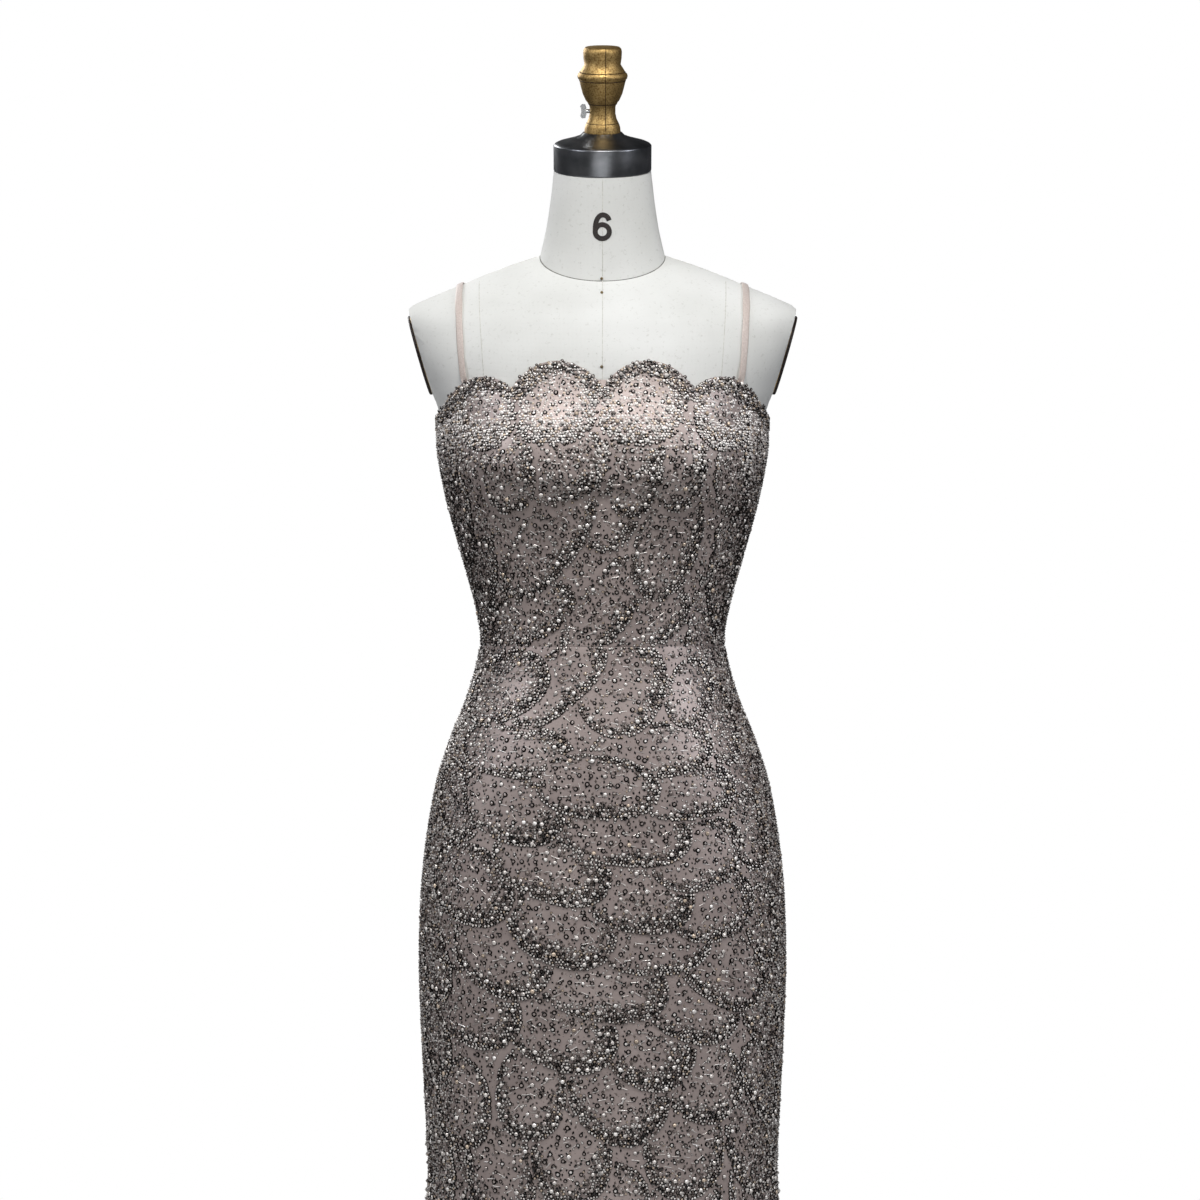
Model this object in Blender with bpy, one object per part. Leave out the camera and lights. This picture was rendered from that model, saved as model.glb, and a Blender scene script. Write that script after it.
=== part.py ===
"""A beaded strapless-cut evening gown with two thin straps, worn by a limbless dress form.

Metres, +Z up. The origin is on the floor under the pole, the front faces -Y and the wearer's
left is at +X. The form is one canvas shell with a leaning neck, a steel neck cap and a turned
finial. The gown has a front and two back panels above the waist seam and three more below it,
each a thin wall set just outside the form, and it falls from the knee into a fluted hem.
"""
import math
from collections import namedtuple

import bmesh
import bpy
from mathutils import Matrix, Vector
from mathutils.bvhtree import BVHTree

MM = 0.001
SEAM_GAP = 0.3 * MM          # between pieces that are sewn, screwed or seated together

# ---- gown cloth ----
CLOTH = 1.8 * MM             # satin, lining and the net that carries the beads, together
EASE = 1.3 * MM              # air between the form and the cloth
WAIST_Z = 1.040
HEM_Z = 0.018
KNEE_Z = 0.485
HEM_FLUTES = 8
HEM_FLUTE_DEPTH = 0.013

# ---- dress form ----
FORM_BOTTOM_Z = 0.700
FORM_ROUNDING = 4.0 * MM     # of the form's bottom edge
POLE_RADIUS = 0.016
BASE_RADIUS = 0.190
BASE_HEIGHT = 0.014
HUB_RADIUS = 0.030
HUB_TOP_Z = 0.046
ARM_PLATE_X = 0.1718         # half width of the armhole cut at ARM_PLATE_Z
ARM_PLATE_Z = 1.300
ARMHOLE_FLOOR_Z = 1.272      # the cut starts at the ring here
ARM_PLATE_LEAN = 0.285       # how far the cut moves outwards for each metre it rises
ARM_PLATE_THICKNESS = 3.4 * MM
ARM_PLATE_HALF_HEIGHT = 0.041
ARM_PLATE_HALF_DEPTH = 0.036
ARM_PLATE_COLUMNS = 24

# ---- neck cap and finial, square to the leaning neck ----
CAP_RADIUS = 0.0490
CAP_HEIGHT = 0.027
CAP_TILT = math.radians(17.5)
NECK_TOP = Vector((0.0, 0.004, 1.515))
FINIAL_RISE = 0.0385          # from the middle of the neck's top to the finial's foot
FINIAL_COLUMNS = 24
SCREW_RISE = 0.0592
SCREW_RADIUS = 2.0 * MM
SCREW_X = 0.0120              # middle of the screw's shank, out to the form's right
SCREW_LENGTH = 0.0110
SCREW_HOLE_X = 0.0130
SCREW_HOLE_DEPTH = 0.0140
WING_THICKNESS = 2.2 * MM
CAP_EDGE = 1.5 * MM           # the cap's rounded rim

# ---- straps and zip ----
STRAP_FOOT_X = 0.1302
STRAP_TOP_X = 0.1425
STRAP_WIDTH = 7.0 * MM
STRAP_THICKNESS = 1.4 * MM
STRAP_STEPS = 22
STRAP_HUB_Y = 0.010           # rays that find the shoulder start here, at NECKLINE_Z
ZIP_BOTTOM_Z = 0.850
ZIP_TOP_Z = 1.252
ZIP_WIDTH = 6.0 * MM
ZIP_THICKNESS = 1.2 * MM
SLIDER_Z = 1.243
SLIDER_SIZE = (7.6 * MM, 1.8 * MM, 11.0 * MM)
BRIDGE_SIZE = (1.4 * MM, 4.4 * MM, 6.6 * MM)
EYE_SIZE = (3.0 * MM, 2.3 * MM, 4.0 * MM)      # the hole through the bridge for the pull's bar
BRIDGE_Y = 3.4 * MM           # middles of the bridge and of its eye, out from the slider's seat
PIVOT_Y = 3.25 * MM
PULL_BAR_RADIUS = 0.7 * MM
TAB_THICKNESS = 1.0 * MM
TAB_WINDOW_SIZE = (2.2 * MM, 4.0 * MM, 3.8 * MM)
TAB_WINDOW_Z = -2.6 * MM

FRONT_COLUMNS = 28           # columns of the skirt's front, and of its two backs together
FORM_COLUMNS = 48
CAP_COLUMNS = 40

Section = namedtuple("Section", "height half_width front back power")

# Horizontal sections of the form from the hip to the chest. front and back are the depths
# ahead of and behind the pole; power 2 is an ellipse and more is squarer.
TORSO_SECTIONS = [
    Section(0.850, 0.1716, 0.1100, 0.1310, 2.20),
    Section(0.905, 0.1617, 0.1080, 0.1200, 2.15),
    Section(0.945, 0.1492, 0.1040, 0.1080, 2.10),
    Section(0.985, 0.1332, 0.0970, 0.0980, 2.10),
    Section(1.020, 0.1225, 0.0915, 0.0925, 2.10),
    Section(1.050, 0.1182, 0.0900, 0.0915, 2.10),
    Section(1.085, 0.1247, 0.0930, 0.0960, 2.10),
    Section(1.134, 0.1382, 0.1010, 0.1030, 2.15),
    Section(1.185, 0.1519, 0.1060, 0.1080, 2.20),
    Section(1.235, 0.1612, 0.1080, 0.1120, 2.30),
    Section(1.275, 0.1635, 0.1070, 0.1150, 2.35),
    Section(1.320, 0.1865, 0.1020, 0.1190, 2.45),
]
HIP_SECTIONS = [
    Section(0.700, 0.1580, 0.0980, 0.1180, 2.25),
    Section(0.740, 0.1680, 0.1030, 0.1270, 2.25),
    Section(0.795, 0.1745, 0.1080, 0.1330, 2.25),
]
# What the skirt falls over: the form's hip, then the skirt's own line down to the floor.
SKIRT_SECTIONS = [
    Section(0.018, 0.2900, 0.2420, 0.2680, 2.00),
    Section(0.080, 0.2770, 0.2290, 0.2530, 2.00),
    Section(0.160, 0.2560, 0.2070, 0.2280, 2.02),
    Section(0.250, 0.2310, 0.1800, 0.1980, 2.05),
    Section(0.340, 0.2030, 0.1480, 0.1630, 2.10),
    Section(0.410, 0.1820, 0.1220, 0.1350, 2.15),
    Section(0.450, 0.1748, 0.1110, 0.1240, 2.20),
    Section(0.485, 0.1715, 0.1070, 0.1200, 2.25),
    Section(0.525, 0.1700, 0.1060, 0.1200, 2.25),
    Section(0.585, 0.1732, 0.1070, 0.1220, 2.25),
    Section(0.645, 0.1762, 0.1080, 0.1260, 2.25),
    Section(0.715, 0.1790, 0.1100, 0.1320, 2.25),
    Section(0.765, 0.1785, 0.1120, 0.1350, 2.25),
    Section(0.805, 0.1765, 0.1120, 0.1350, 2.25),
]

Ring = namedtuple("Ring", "half_width side_z front front_z back back_z power")

# Rings that close over the shoulders. Each is lower in front than behind, as a neckline is.
SHOULDER_RINGS = [
    Ring(0.1865, 1.3200, 0.1020, 1.3200, 0.1190, 1.3200, 2.45),
    Ring(0.1965, 1.3480, 0.0930, 1.3400, 0.1210, 1.3500, 2.50),
    Ring(0.2000, 1.3660, 0.0850, 1.3560, 0.1180, 1.3700, 2.50),
    Ring(0.1890, 1.3800, 0.0770, 1.3660, 0.1130, 1.3860, 2.45),
    Ring(0.1510, 1.3960, 0.0670, 1.3790, 0.1050, 1.4060, 2.35),
    Ring(0.1050, 1.4150, 0.0550, 1.3900, 0.0940, 1.4280, 2.20),
    Ring(0.0625, 1.4285, 0.0420, 1.3990, 0.0820, 1.4460, 2.00),
]
NECK_RINGS = [
    Ring(0.0625, 1.4285, 0.0420, 1.3990, 0.0820, 1.4460, 2.00),
    Ring(0.0562, 1.4560, 0.0400, 1.4360, 0.0720, 1.4750, 2.00),
    Ring(0.0517, 1.4860, 0.0410, 1.4690, 0.0610, 1.5025, 2.00),
]

# Heights shared by the form's rings and the gown's rows, so that their facets run side by side.
BODICE_LEVELS = (1.062, 1.090, 1.120, 1.150, 1.180, 1.205, 1.228, 1.248)
SKIRT_LEVELS = (0.070, 0.135, 0.205, 0.280, 0.350, 0.410, 0.450, 0.485, 0.545, 0.610, 0.675,
                0.735, 0.790, 0.835, 0.875, 0.910, 0.940, 0.967, 0.993, 1.018)
EDGE_ROWS = 3                # rows between the last level and the scalloped edge
CHEST_LEVELS = (1.260, ARMHOLE_FLOOR_Z, 1.284, 1.302)   # the form's rings above the gown's rows

# The cap's shallow dome from its rim in to the finial's foot, as (radius, height) pairs.
CAP_DOME = [(0.0440, 0.0286), (0.0300, 0.0324), (0.0225, 0.0352), (0.0195, 0.0382)]
# The finial's turned outline from its foot up, as (radius, height) pairs.
FINIAL_PROFILE = [
    (0.0181, 0.0000), (0.0180, 0.0018), (0.0176, 0.0050), (0.0167, 0.0080), (0.0158, 0.0093),
    (0.0154, 0.0106), (0.0140, 0.0135), (0.0129, 0.0184), (0.0129, 0.0249), (0.0136, 0.0274),
    (0.0142, 0.0283), (0.0168, 0.0315), (0.0198, 0.0381), (0.0215, 0.0446), (0.0230, 0.0506),
    (0.0229, 0.0518), (0.0244, 0.0528), (0.0250, 0.0554), (0.0244, 0.0578), (0.0228, 0.0590),
    (0.0206, 0.0628), (0.0180, 0.0668), (0.0189, 0.0730), (0.0192, 0.0790), (0.0186, 0.0820),
    (0.0170, 0.0836), (0.0060, 0.0840),
]
# Half of the thumbscrew's wing, as (x, z) from the finial's axis and the screw's height.
WING_OUTLINE = [(-0.0160, 0.0030), (-0.0172, 0.0068), (-0.0205, 0.0070), (-0.0222, 0.0048),
                (-0.0212, 0.0020)]
# The right half of the zip's pull tab, as (x, z) from its pivot.
TAB_OUTLINE = [(0.0027, 0.0), (0.0027, -0.0100), (0.0034, -0.0130), (0.0034, -0.0220),
               (0.0022, -0.0245)]

Scallop = namedtuple("Scallop", "start end start_z end_z rise peak columns")

# The neckline's scallops from the centre out to the side. start and end are shares of the half
# width; peak is where the top lies between them.
FRONT_SCALLOPS = [
    Scallop(0.00, 0.52, 1.2890, 1.2880, 0.0268, 0.45, 7),
    Scallop(0.52, 1.00, 1.2880, 1.2660, 0.0205, 0.40, 8),
]
BACK_SCALLOPS = [
    Scallop(0.00, 0.56, 1.2580, 1.2600, 0.0240, 0.47, 6),
    Scallop(0.56, 1.00, 1.2600, 1.2660, 0.0150, 0.45, 6),
]
SCALLOP_ROUNDNESS = 1.95
NECKLINE_Z = 1.290           # where the shares are measured

Bust = namedtuple("Bust", "x z rise spread_x spread_z")
CUP = Bust(0.086, 1.218, 0.024, 0.058, 0.052)
BRIDGE = Bust(0.0, 1.222, 0.013, 0.052, 0.050)   # the cloth spans the hollow between the cups


# ---------------------------------------------------------------- tools for all pieces
def clear_scene():
    for obj in list(bpy.data.objects):
        bpy.data.objects.remove(obj, do_unlink=True)


def finish_material(name, colour, roughness, metallic=0.0):
    material = bpy.data.materials.new(name)
    material.use_nodes = True
    shader = material.node_tree.nodes["Principled BSDF"]
    shader.inputs["Base Color"].default_value = (*colour, 1.0)
    shader.inputs["Roughness"].default_value = roughness
    shader.inputs["Metallic"].default_value = metallic
    return material


def add_object(name, bm, material, sharp_degrees=35.0):
    bmesh.ops.recalc_face_normals(bm, faces=bm.faces)
    mesh = bpy.data.meshes.new(name)
    bm.to_mesh(mesh)
    bm.free()
    mesh.materials.append(material)
    mesh.shade_smooth()
    mesh.set_sharp_from_angle(angle=math.radians(sharp_degrees))
    obj = bpy.data.objects.new(name, mesh)
    bpy.context.scene.collection.objects.link(obj)
    return obj


def interpolate(rows, key, position):
    """A smooth curve through the rows at the position, whose first column is the height."""
    places = [row[key] for row in rows]
    index = 0
    while index < len(rows) - 2 and position > places[index + 1]:
        index += 1
    span = places[index + 1] - places[index]
    t = (position - places[index]) / span

    def slope(i, column):
        low, high = max(i - 1, 0), min(i + 1, len(rows) - 1)
        return (rows[high][column] - rows[low][column]) / (places[high] - places[low])

    values = []
    for column in range(len(rows[0])):
        if column == key:
            values.append(position)
            continue
        start, end = rows[index][column], rows[index + 1][column]
        leave, arrive = slope(index, column) * span, slope(index + 1, column) * span
        values.append((2 * t**3 - 3 * t**2 + 1) * start + (t**3 - 2 * t**2 + t) * leave
                      + (3 * t**2 - 2 * t**3) * end + (t**3 - t**2) * arrive)
    return type(rows[0])(*values)


def signed_power(value, exponent):
    return math.copysign(abs(value) ** exponent, value)


def bump(shape, x, z):
    across = ((abs(x) - shape.x) / shape.spread_x) ** 2
    along = ((z - shape.z) / shape.spread_z) ** 2
    return shape.rise * math.exp(-across - along)


def outline_point(section, angle):
    """A point of a rounded section; angle 0 is the centre front and 90 degrees is at +X."""
    across = signed_power(math.sin(angle), 2.0 / section.power)
    along = signed_power(math.cos(angle), 2.0 / section.power)
    depth = section.front if along > 0.0 else section.back
    return section.half_width * across, -depth * along


def loft(rings, cap_start=True, cap_end=True):
    """A closed skin through rings of equally many points."""
    bm = bmesh.new()
    loops = [[bm.verts.new(point) for point in ring] for ring in rings]
    count = len(loops[0])
    for low, high in zip(loops, loops[1:]):
        for i in range(count):
            j = (i + 1) % count
            bm.faces.new((low[i], low[j], high[j], high[i]))
    if cap_start:
        bm.faces.new(list(reversed(loops[0])))
    if cap_end:
        bm.faces.new(loops[-1])
    return bm


def wall(inner, outer):
    """A closed wall between two grids of points, each a list of rows."""
    bm = bmesh.new()
    inside = [[bm.verts.new(point) for point in row] for row in inner]
    outside = [[bm.verts.new(point) for point in row] for row in outer]
    rows, columns = len(inner), len(inner[0])
    for r in range(rows - 1):
        for c in range(columns - 1):
            bm.faces.new((inside[r][c], inside[r + 1][c], inside[r + 1][c + 1], inside[r][c + 1]))
            bm.faces.new((outside[r][c], outside[r][c + 1], outside[r + 1][c + 1],
                          outside[r + 1][c]))
    rim = ([(0, c) for c in range(columns)] + [(r, columns - 1) for r in range(1, rows)]
           + [(rows - 1, c) for c in range(columns - 2, -1, -1)]
           + [(r, 0) for r in range(rows - 2, 0, -1)])
    for (r0, c0), (r1, c1) in zip(rim, rim[1:] + rim[:1]):
        bm.faces.new((inside[r0][c0], inside[r1][c1], outside[r1][c1], outside[r0][c0]))
    return bm


def turned(profile, centre, columns):
    """A solid of revolution about a vertical axis from (radius, height) pairs."""
    rings = []
    for radius, height in profile:
        rings.append([centre + Vector((radius * math.sin(turn), -radius * math.cos(turn), height))
                      for turn in (2.0 * math.pi * i / columns for i in range(columns))])
    return loft(rings)


def plate(outline, thickness):
    """A flat plate from an outline of (x, z) points, centred on y = 0."""
    return loft([[Vector((x, y, z)) for x, z in outline]
                 for y in (-0.5 * thickness, 0.5 * thickness)])


def block(bm, centre, size):
    matrix = Matrix.Translation(centre) @ Matrix.Diagonal((*size, 1.0))
    return bmesh.ops.create_cube(bm, size=1.0, matrix=matrix)


def rod(bm, centre, radius, length, columns=12):
    """A cylinder along X."""
    matrix = Matrix.Translation(centre) @ Matrix.Rotation(math.pi / 2.0, 4, "Y")
    bmesh.ops.create_cone(bm, cap_ends=True, segments=columns, radius1=radius, radius2=radius,
                          depth=length, matrix=matrix)


def combine(target, tool_bm, operation, name):
    """Joins a shape to the target, or cuts it away, with an exact Boolean."""
    tool = add_object(name, tool_bm, target.data.materials[0])
    tool.hide_render = True
    tool.display_type = "WIRE"
    modifier = target.modifiers.new(name, "BOOLEAN")
    modifier.operation = operation
    modifier.solver = "EXACT"
    modifier.object = tool


# ---------------------------------------------------------------- dress form
def form_section(height):
    return interpolate(HIP_SECTIONS + TORSO_SECTIONS, 0, height)


def form_point(angle, height):
    x, y = outline_point(form_section(height), angle)
    if y < 0.0:
        y -= bump(CUP, x, height)
    return Vector((x, y, height))


def ring_points(ring, columns):
    """A closing ring: its front and back each lie in a plane hinged on its side points."""
    points = []
    for i in range(columns):
        x, y = outline_point(ring, 2.0 * math.pi * i / columns)
        depth = ring.front if y < 0.0 else ring.back
        reach = ring.front_z if y < 0.0 else ring.back_z
        points.append(Vector((x, y, ring.side_z + (reach - ring.side_z) * abs(y) / depth)))
    return points


def add_chest(points):
    """The cups still raise the lowest shoulder rings a little."""
    for point in points:
        if point.y < 0.0:
            point.y -= bump(CUP, point.x, point.z)
    return points


def smooth_rings(rings, steps):
    """Rings between the given ones, each column following a smooth curve."""
    numbered = [namedtuple("Row", "place " + " ".join(Ring._fields))(i, *ring)
                for i, ring in enumerate(rings)]
    result = []
    for i in range(steps + 1):
        row = interpolate(numbered, 0, (len(rings) - 1) * i / steps)
        result.append(Ring(*row[1:]))
    return result


def on_neck(x, y, rise):
    """A point measured from the middle of the neck's top, square to the leaning neck."""
    return NECK_TOP + Matrix.Rotation(CAP_TILT, 3, "X") @ Vector((x, y, rise))


def neck_top_ring(columns, radius, rise):
    """A ring square to the leaning neck, rise above its top."""
    turns = [2.0 * math.pi * i / columns for i in range(columns)]
    return [on_neck(radius * math.sin(turn), -radius * math.cos(turn), rise) for turn in turns]


def armhole_normal(side):
    return Vector((side, 0.0, -ARM_PLATE_LEAN)).normalized()


def cut_armhole(bm, side):
    """Cuts the shoulder end off flat and returns the corners of the flat face."""
    point = Vector((side * ARM_PLATE_X, 0.0, ARM_PLATE_Z))
    shoulder_faces = [face for face in bm.faces if face.calc_center_median().z > ARMHOLE_FLOOR_Z
                      and face.calc_center_median().x * side > 0.0]
    geometry = set(shoulder_faces)
    for face in shoulder_faces:
        geometry.update(face.edges)
        geometry.update(face.verts)
    cut = bmesh.ops.bisect_plane(bm, geom=list(geometry), plane_co=point,
                                 plane_no=armhole_normal(side), clear_outer=True)
    edges = [item for item in cut["geom_cut"] if isinstance(item, bmesh.types.BMEdge)]
    filled = bmesh.ops.holes_fill(bm, edges=edges)
    return [vert.co.copy() for vert in filled["faces"][0].verts]


def build_form(canvas, board):
    levels = [FORM_BOTTOM_Z + FORM_ROUNDING]
    levels += [z for z in SKIRT_LEVELS if z > FORM_BOTTOM_Z + 0.02]
    levels += [WAIST_Z] + list(BODICE_LEVELS) + list(CHEST_LEVELS)
    turns = [2.0 * math.pi * i / FORM_COLUMNS for i in range(FORM_COLUMNS)]
    base = [form_point(turn, FORM_BOTTOM_Z) for turn in turns]
    centre = Vector((0.0, 0.5 * (HIP_SECTIONS[0].back - HIP_SECTIONS[0].front), FORM_BOTTOM_Z))
    shrink = 1.0 - FORM_ROUNDING / HIP_SECTIONS[0].half_width
    rings = [[centre + (point - centre) * shrink for point in base]]
    rings += [[form_point(turn, level) for turn in turns] for level in levels]
    rings += [add_chest(ring_points(ring, FORM_COLUMNS)) for ring in smooth_rings(SHOULDER_RINGS, 10)]
    rings += [ring_points(ring, FORM_COLUMNS) for ring in smooth_rings(NECK_RINGS, 4)[1:]]
    rings.append(neck_top_ring(FORM_COLUMNS, CAP_RADIUS - SEAM_GAP, 0.0))
    bm = loft(rings)
    outlines = {side: cut_armhole(bm, side) for side in (-1, 1)}
    form = add_object("form_body", bm, canvas)

    for side, name in ((-1, "arm_plate_right"), (1, "arm_plate_left")):
        corners = [sorted(point[axis] for point in outlines[side]) for axis in range(3)]
        middle = Vector([0.5 * (values[0] + values[-1]) for values in corners])
        out = armhole_normal(side)
        up = Vector((side * ARM_PLATE_LEAN, 0.0, 1.0)).normalized()
        rings = []
        for lift, inset in ((SEAM_GAP, 0.0), (SEAM_GAP + ARM_PLATE_THICKNESS - 1.0 * MM, 0.0),
                            (SEAM_GAP + ARM_PLATE_THICKNESS, 1.0 * MM)):
            turns = [2.0 * math.pi * i / ARM_PLATE_COLUMNS for i in range(ARM_PLATE_COLUMNS)]
            rings.append([middle + out * lift
                          + up * (ARM_PLATE_HALF_HEIGHT - inset) * math.cos(turn)
                          + Vector((0.0, (ARM_PLATE_HALF_DEPTH - inset) * math.sin(turn), 0.0))
                          for turn in turns])
        add_object(name, loft(rings), board)
    return form


def build_cap(steel):
    """A steel cup over the neck, with a shallow dome that rises to the finial's foot."""
    outline = [(CAP_RADIUS - 1.0 * MM, SEAM_GAP), (CAP_RADIUS, SEAM_GAP + 1.0 * MM),
               (CAP_RADIUS, CAP_HEIGHT - CAP_EDGE), (CAP_RADIUS - CAP_EDGE, CAP_HEIGHT)] + CAP_DOME
    add_object("neck_cap", loft([neck_top_ring(CAP_COLUMNS, radius, height)
                                 for radius, height in outline]), steel)


def build_finial(brass, steel):
    """A turned knob with a waist; a winged screw enters the waist from the form's right."""
    rings = [neck_top_ring(FINIAL_COLUMNS, radius, FINIAL_RISE + height)
             for radius, height in FINIAL_PROFILE]
    finial = add_object("finial", loft(rings), brass)
    waist = on_neck(0.0, 0.0, SCREW_RISE)
    hole = bmesh.new()
    rod(hole, waist - Vector((SCREW_HOLE_X, 0.0, 0.0)), SCREW_RADIUS + SEAM_GAP, SCREW_HOLE_DEPTH)
    combine(finial, hole, "DIFFERENCE", "screw_hole")

    screw = bmesh.new()
    rod(screw, Vector((-SCREW_X, 0.0, 0.0)), SCREW_RADIUS, SCREW_LENGTH)
    thumbscrew = add_object("thumbscrew", screw, steel)
    outline = WING_OUTLINE + [(x, -z) for x, z in reversed(WING_OUTLINE)]
    combine(thumbscrew, plate(outline, WING_THICKNESS), "UNION", "screw_wings")
    for obj in (thumbscrew, bpy.data.objects["screw_wings"]):
        obj.location = waist


def build_stand(iron, steel):
    base = [(BASE_RADIUS - 2.0 * MM, 0.0), (BASE_RADIUS, 2.0 * MM),
            (BASE_RADIUS, BASE_HEIGHT - 4.0 * MM), (BASE_RADIUS - 8.0 * MM, BASE_HEIGHT),
            (HUB_RADIUS + 14.0 * MM, BASE_HEIGHT + 3.0 * MM), (HUB_RADIUS, BASE_HEIGHT + 14.0 * MM),
            (HUB_RADIUS - 3.0 * MM, HUB_TOP_Z)]
    add_object("stand_base", turned(base, Vector(), 40), iron)
    pole = [(POLE_RADIUS, HUB_TOP_Z + SEAM_GAP), (POLE_RADIUS, FORM_BOTTOM_Z - SEAM_GAP)]
    add_object("stand_pole", turned(pole, Vector(), 24), steel)


# ---------------------------------------------------------------- gown
def gown_section(height):
    return interpolate(SKIRT_SECTIONS + TORSO_SECTIONS, 0, height)


def flute(angle, height):
    """Soft waves that start below the knee and deepen to the hem."""
    fall = max(0.0, (KNEE_Z - 0.03 - height) / (KNEE_Z - 0.03 - HEM_Z))
    return HEM_FLUTE_DEPTH * fall**1.4 * math.cos(HEM_FLUTES * angle)


def gown_point(angle, height, out=0.0):
    """A point of the cloth, out metres outside its inner face."""
    section = gown_section(height)
    step = 0.002
    before, here, after = (Vector(outline_point(section, angle + turn)) for turn in (-step, 0.0, step))
    along = (after - before).normalized()
    x, y = here + Vector((along.y, -along.x)) * (EASE + out + flute(angle, height))
    if here.y < 0.0:
        y -= bump(CUP, here.x, height) + bump(BRIDGE, here.x, height)
    return Vector((x, y, height))


def neckline(angle):
    """The height of the scalloped edge at an angle from the centre front."""
    share = min(1.0, abs(math.sin(angle)) ** (2.0 / gown_section(NECKLINE_Z).power))
    lobes = FRONT_SCALLOPS if math.cos(angle) > 0.0 else BACK_SCALLOPS
    lobe = lobes[0] if share <= lobes[0].end else lobes[1]
    t = (share - lobe.start) / (lobe.end - lobe.start)
    warped = t ** (math.log(0.5) / math.log(lobe.peak))
    valley = lobe.start_z + (lobe.end_z - lobe.start_z) * t
    return valley + lobe.rise * (1.0 - abs(2.0 * warped - 1.0) ** SCALLOP_ROUNDNESS)


def share_angle(share, section):
    """The angle at which a section reaches a share of its half width."""
    return math.asin(share ** (section.power / 2.0))


def scallop_angles(lobes):
    """Column angles from the centre to the side: even steps across, then widening turns."""
    section = gown_section(NECKLINE_Z)
    inner, outer = lobes
    angles = [share_angle(inner.end * i / inner.columns, section) for i in range(inner.columns)]
    first = share_angle(inner.end, section)
    return angles + [first + (math.pi / 2.0 - first) * (i / outer.columns) ** 1.2
                     for i in range(outer.columns + 1)]


def seam_angle(angle, height, inward):
    """Moves a panel's edge half a seam gap inward along the cloth."""
    step = 0.002 * inward
    speed = (gown_point(angle + step, height) - gown_point(angle, height)).length / 0.002
    return angle + inward * 0.5 * SEAM_GAP / speed


def panel(name, angles, heights_at, cloth):
    """A cloth wall over the angles; heights_at gives the row heights of a column."""
    heights = [heights_at(angle) for angle in angles]
    grids = []
    for out in (0.0, CLOTH):
        rows = []
        for r in range(len(heights[0])):
            row = []
            for c, angle in enumerate(angles):
                height = heights[c][r]
                if c == 0:
                    angle = seam_angle(angle, height, 1.0)
                elif c == len(angles) - 1:
                    angle = seam_angle(angle, height, -1.0)
                row.append(gown_point(angle, height, out))
            rows.append(row)
        grids.append(rows)
    return add_object(name, wall(*grids), cloth)


def bodice_heights(angle):
    top = neckline(angle)
    rows = [WAIST_Z + 0.5 * SEAM_GAP] + list(BODICE_LEVELS)
    return rows + [rows[-1] + (top - rows[-1]) * (i + 1) / EDGE_ROWS for i in range(EDGE_ROWS)]


def skirt_heights(_angle):
    return [HEM_Z] + list(SKIRT_LEVELS) + [WAIST_Z - 0.5 * SEAM_GAP]


def build_gown(cloth):
    front = scallop_angles(FRONT_SCALLOPS)
    back = [math.pi - a for a in reversed(scallop_angles(BACK_SCALLOPS))]
    panel("bodice_front", [-a for a in reversed(front)] + front[1:], bodice_heights, cloth)
    panel("bodice_back_left", back, bodice_heights, cloth)
    panel("bodice_back_right", [-a for a in reversed(back)], bodice_heights, cloth)
    quarter = [math.pi / 2.0 * i / (FRONT_COLUMNS // 2) for i in range(FRONT_COLUMNS // 2 + 1)]
    panel("skirt_front", [-a for a in reversed(quarter)] + quarter[1:], skirt_heights, cloth)
    back = [math.pi / 2.0 + a for a in quarter]
    panel("skirt_back_left", back, skirt_heights, cloth)
    panel("skirt_back_right", [-a for a in reversed(back)], skirt_heights, cloth)


def build_straps(form, satin):
    """Each strap runs taut over the shoulder from the front edge to the back edge."""
    tree = BVHTree.FromObject(form, bpy.context.evaluated_depsgraph_get())
    section = gown_section(NECKLINE_Z)
    inner, foot_angle, outer = [share_angle(x / section.half_width, section) for x in
                                (STRAP_FOOT_X - 0.5 * STRAP_WIDTH, STRAP_FOOT_X,
                                 STRAP_FOOT_X + 0.5 * STRAP_WIDTH)]
    ends = []
    for front in (True, False):
        turns = [a if front else math.pi - a for a in (inner, foot_angle, outer)]
        top = max(neckline(turn) for turn in turns)
        ends.append(gown_point(turns[1], top, CLOTH) + Vector((0.0, 0.0, SEAM_GAP + 0.5 * MM)))
    touch = []
    rays = 60
    for i in range(1, rays):
        turn = math.pi * i / rays
        away = Vector((0.0, -math.cos(turn), math.sin(turn)))
        foot = ends[0] if turn < 0.5 * math.pi else ends[1]
        x = foot.x + (STRAP_TOP_X - foot.x) * math.sin(turn)
        hub = Vector((x, STRAP_HUB_Y, NECKLINE_Z))
        hit = tree.ray_cast(hub + away * 0.4, -away)[0]
        if hit is not None and hit.z > foot.z + 0.004:
            touch.append(hit + away * (EASE + 0.5 * CLOTH))
    path = even_steps(taut([ends[0]] + touch + [ends[1]]), STRAP_STEPS)
    rings = []
    for i, point in enumerate(path):
        ahead = (path[min(i + 1, STRAP_STEPS)] - path[max(i - 1, 0)]).normalized()
        skin = tree.find_nearest(point)[1]
        normal = (skin - skin.dot(ahead) * ahead).normalized()
        half = ahead.cross(normal) * (0.5 * STRAP_WIDTH)
        lift = normal * (0.5 * STRAP_THICKNESS)
        rings.append([point - half - lift, point + half - lift, point + half + lift,
                      point - half + lift])
    for side, name in ((-1, "strap_right"), (1, "strap_left")):
        mirrored = [[Vector((side * p.x, p.y, p.z)) for p in ring] for ring in rings]
        add_object(name, loft(mirrored), satin)


def taut(points):
    """The points in order without those inside a bend: a thread pulled tight over them."""
    hull = []
    for point in points:
        while len(hull) > 1:
            first, second = hull[-2], hull[-1]
            turn = ((second.y - first.y) * (point.z - first.z)
                    - (second.z - first.z) * (point.y - first.y))
            if turn < 0.0:
                break
            hull.pop()
        hull.append(point)
    return hull


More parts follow.
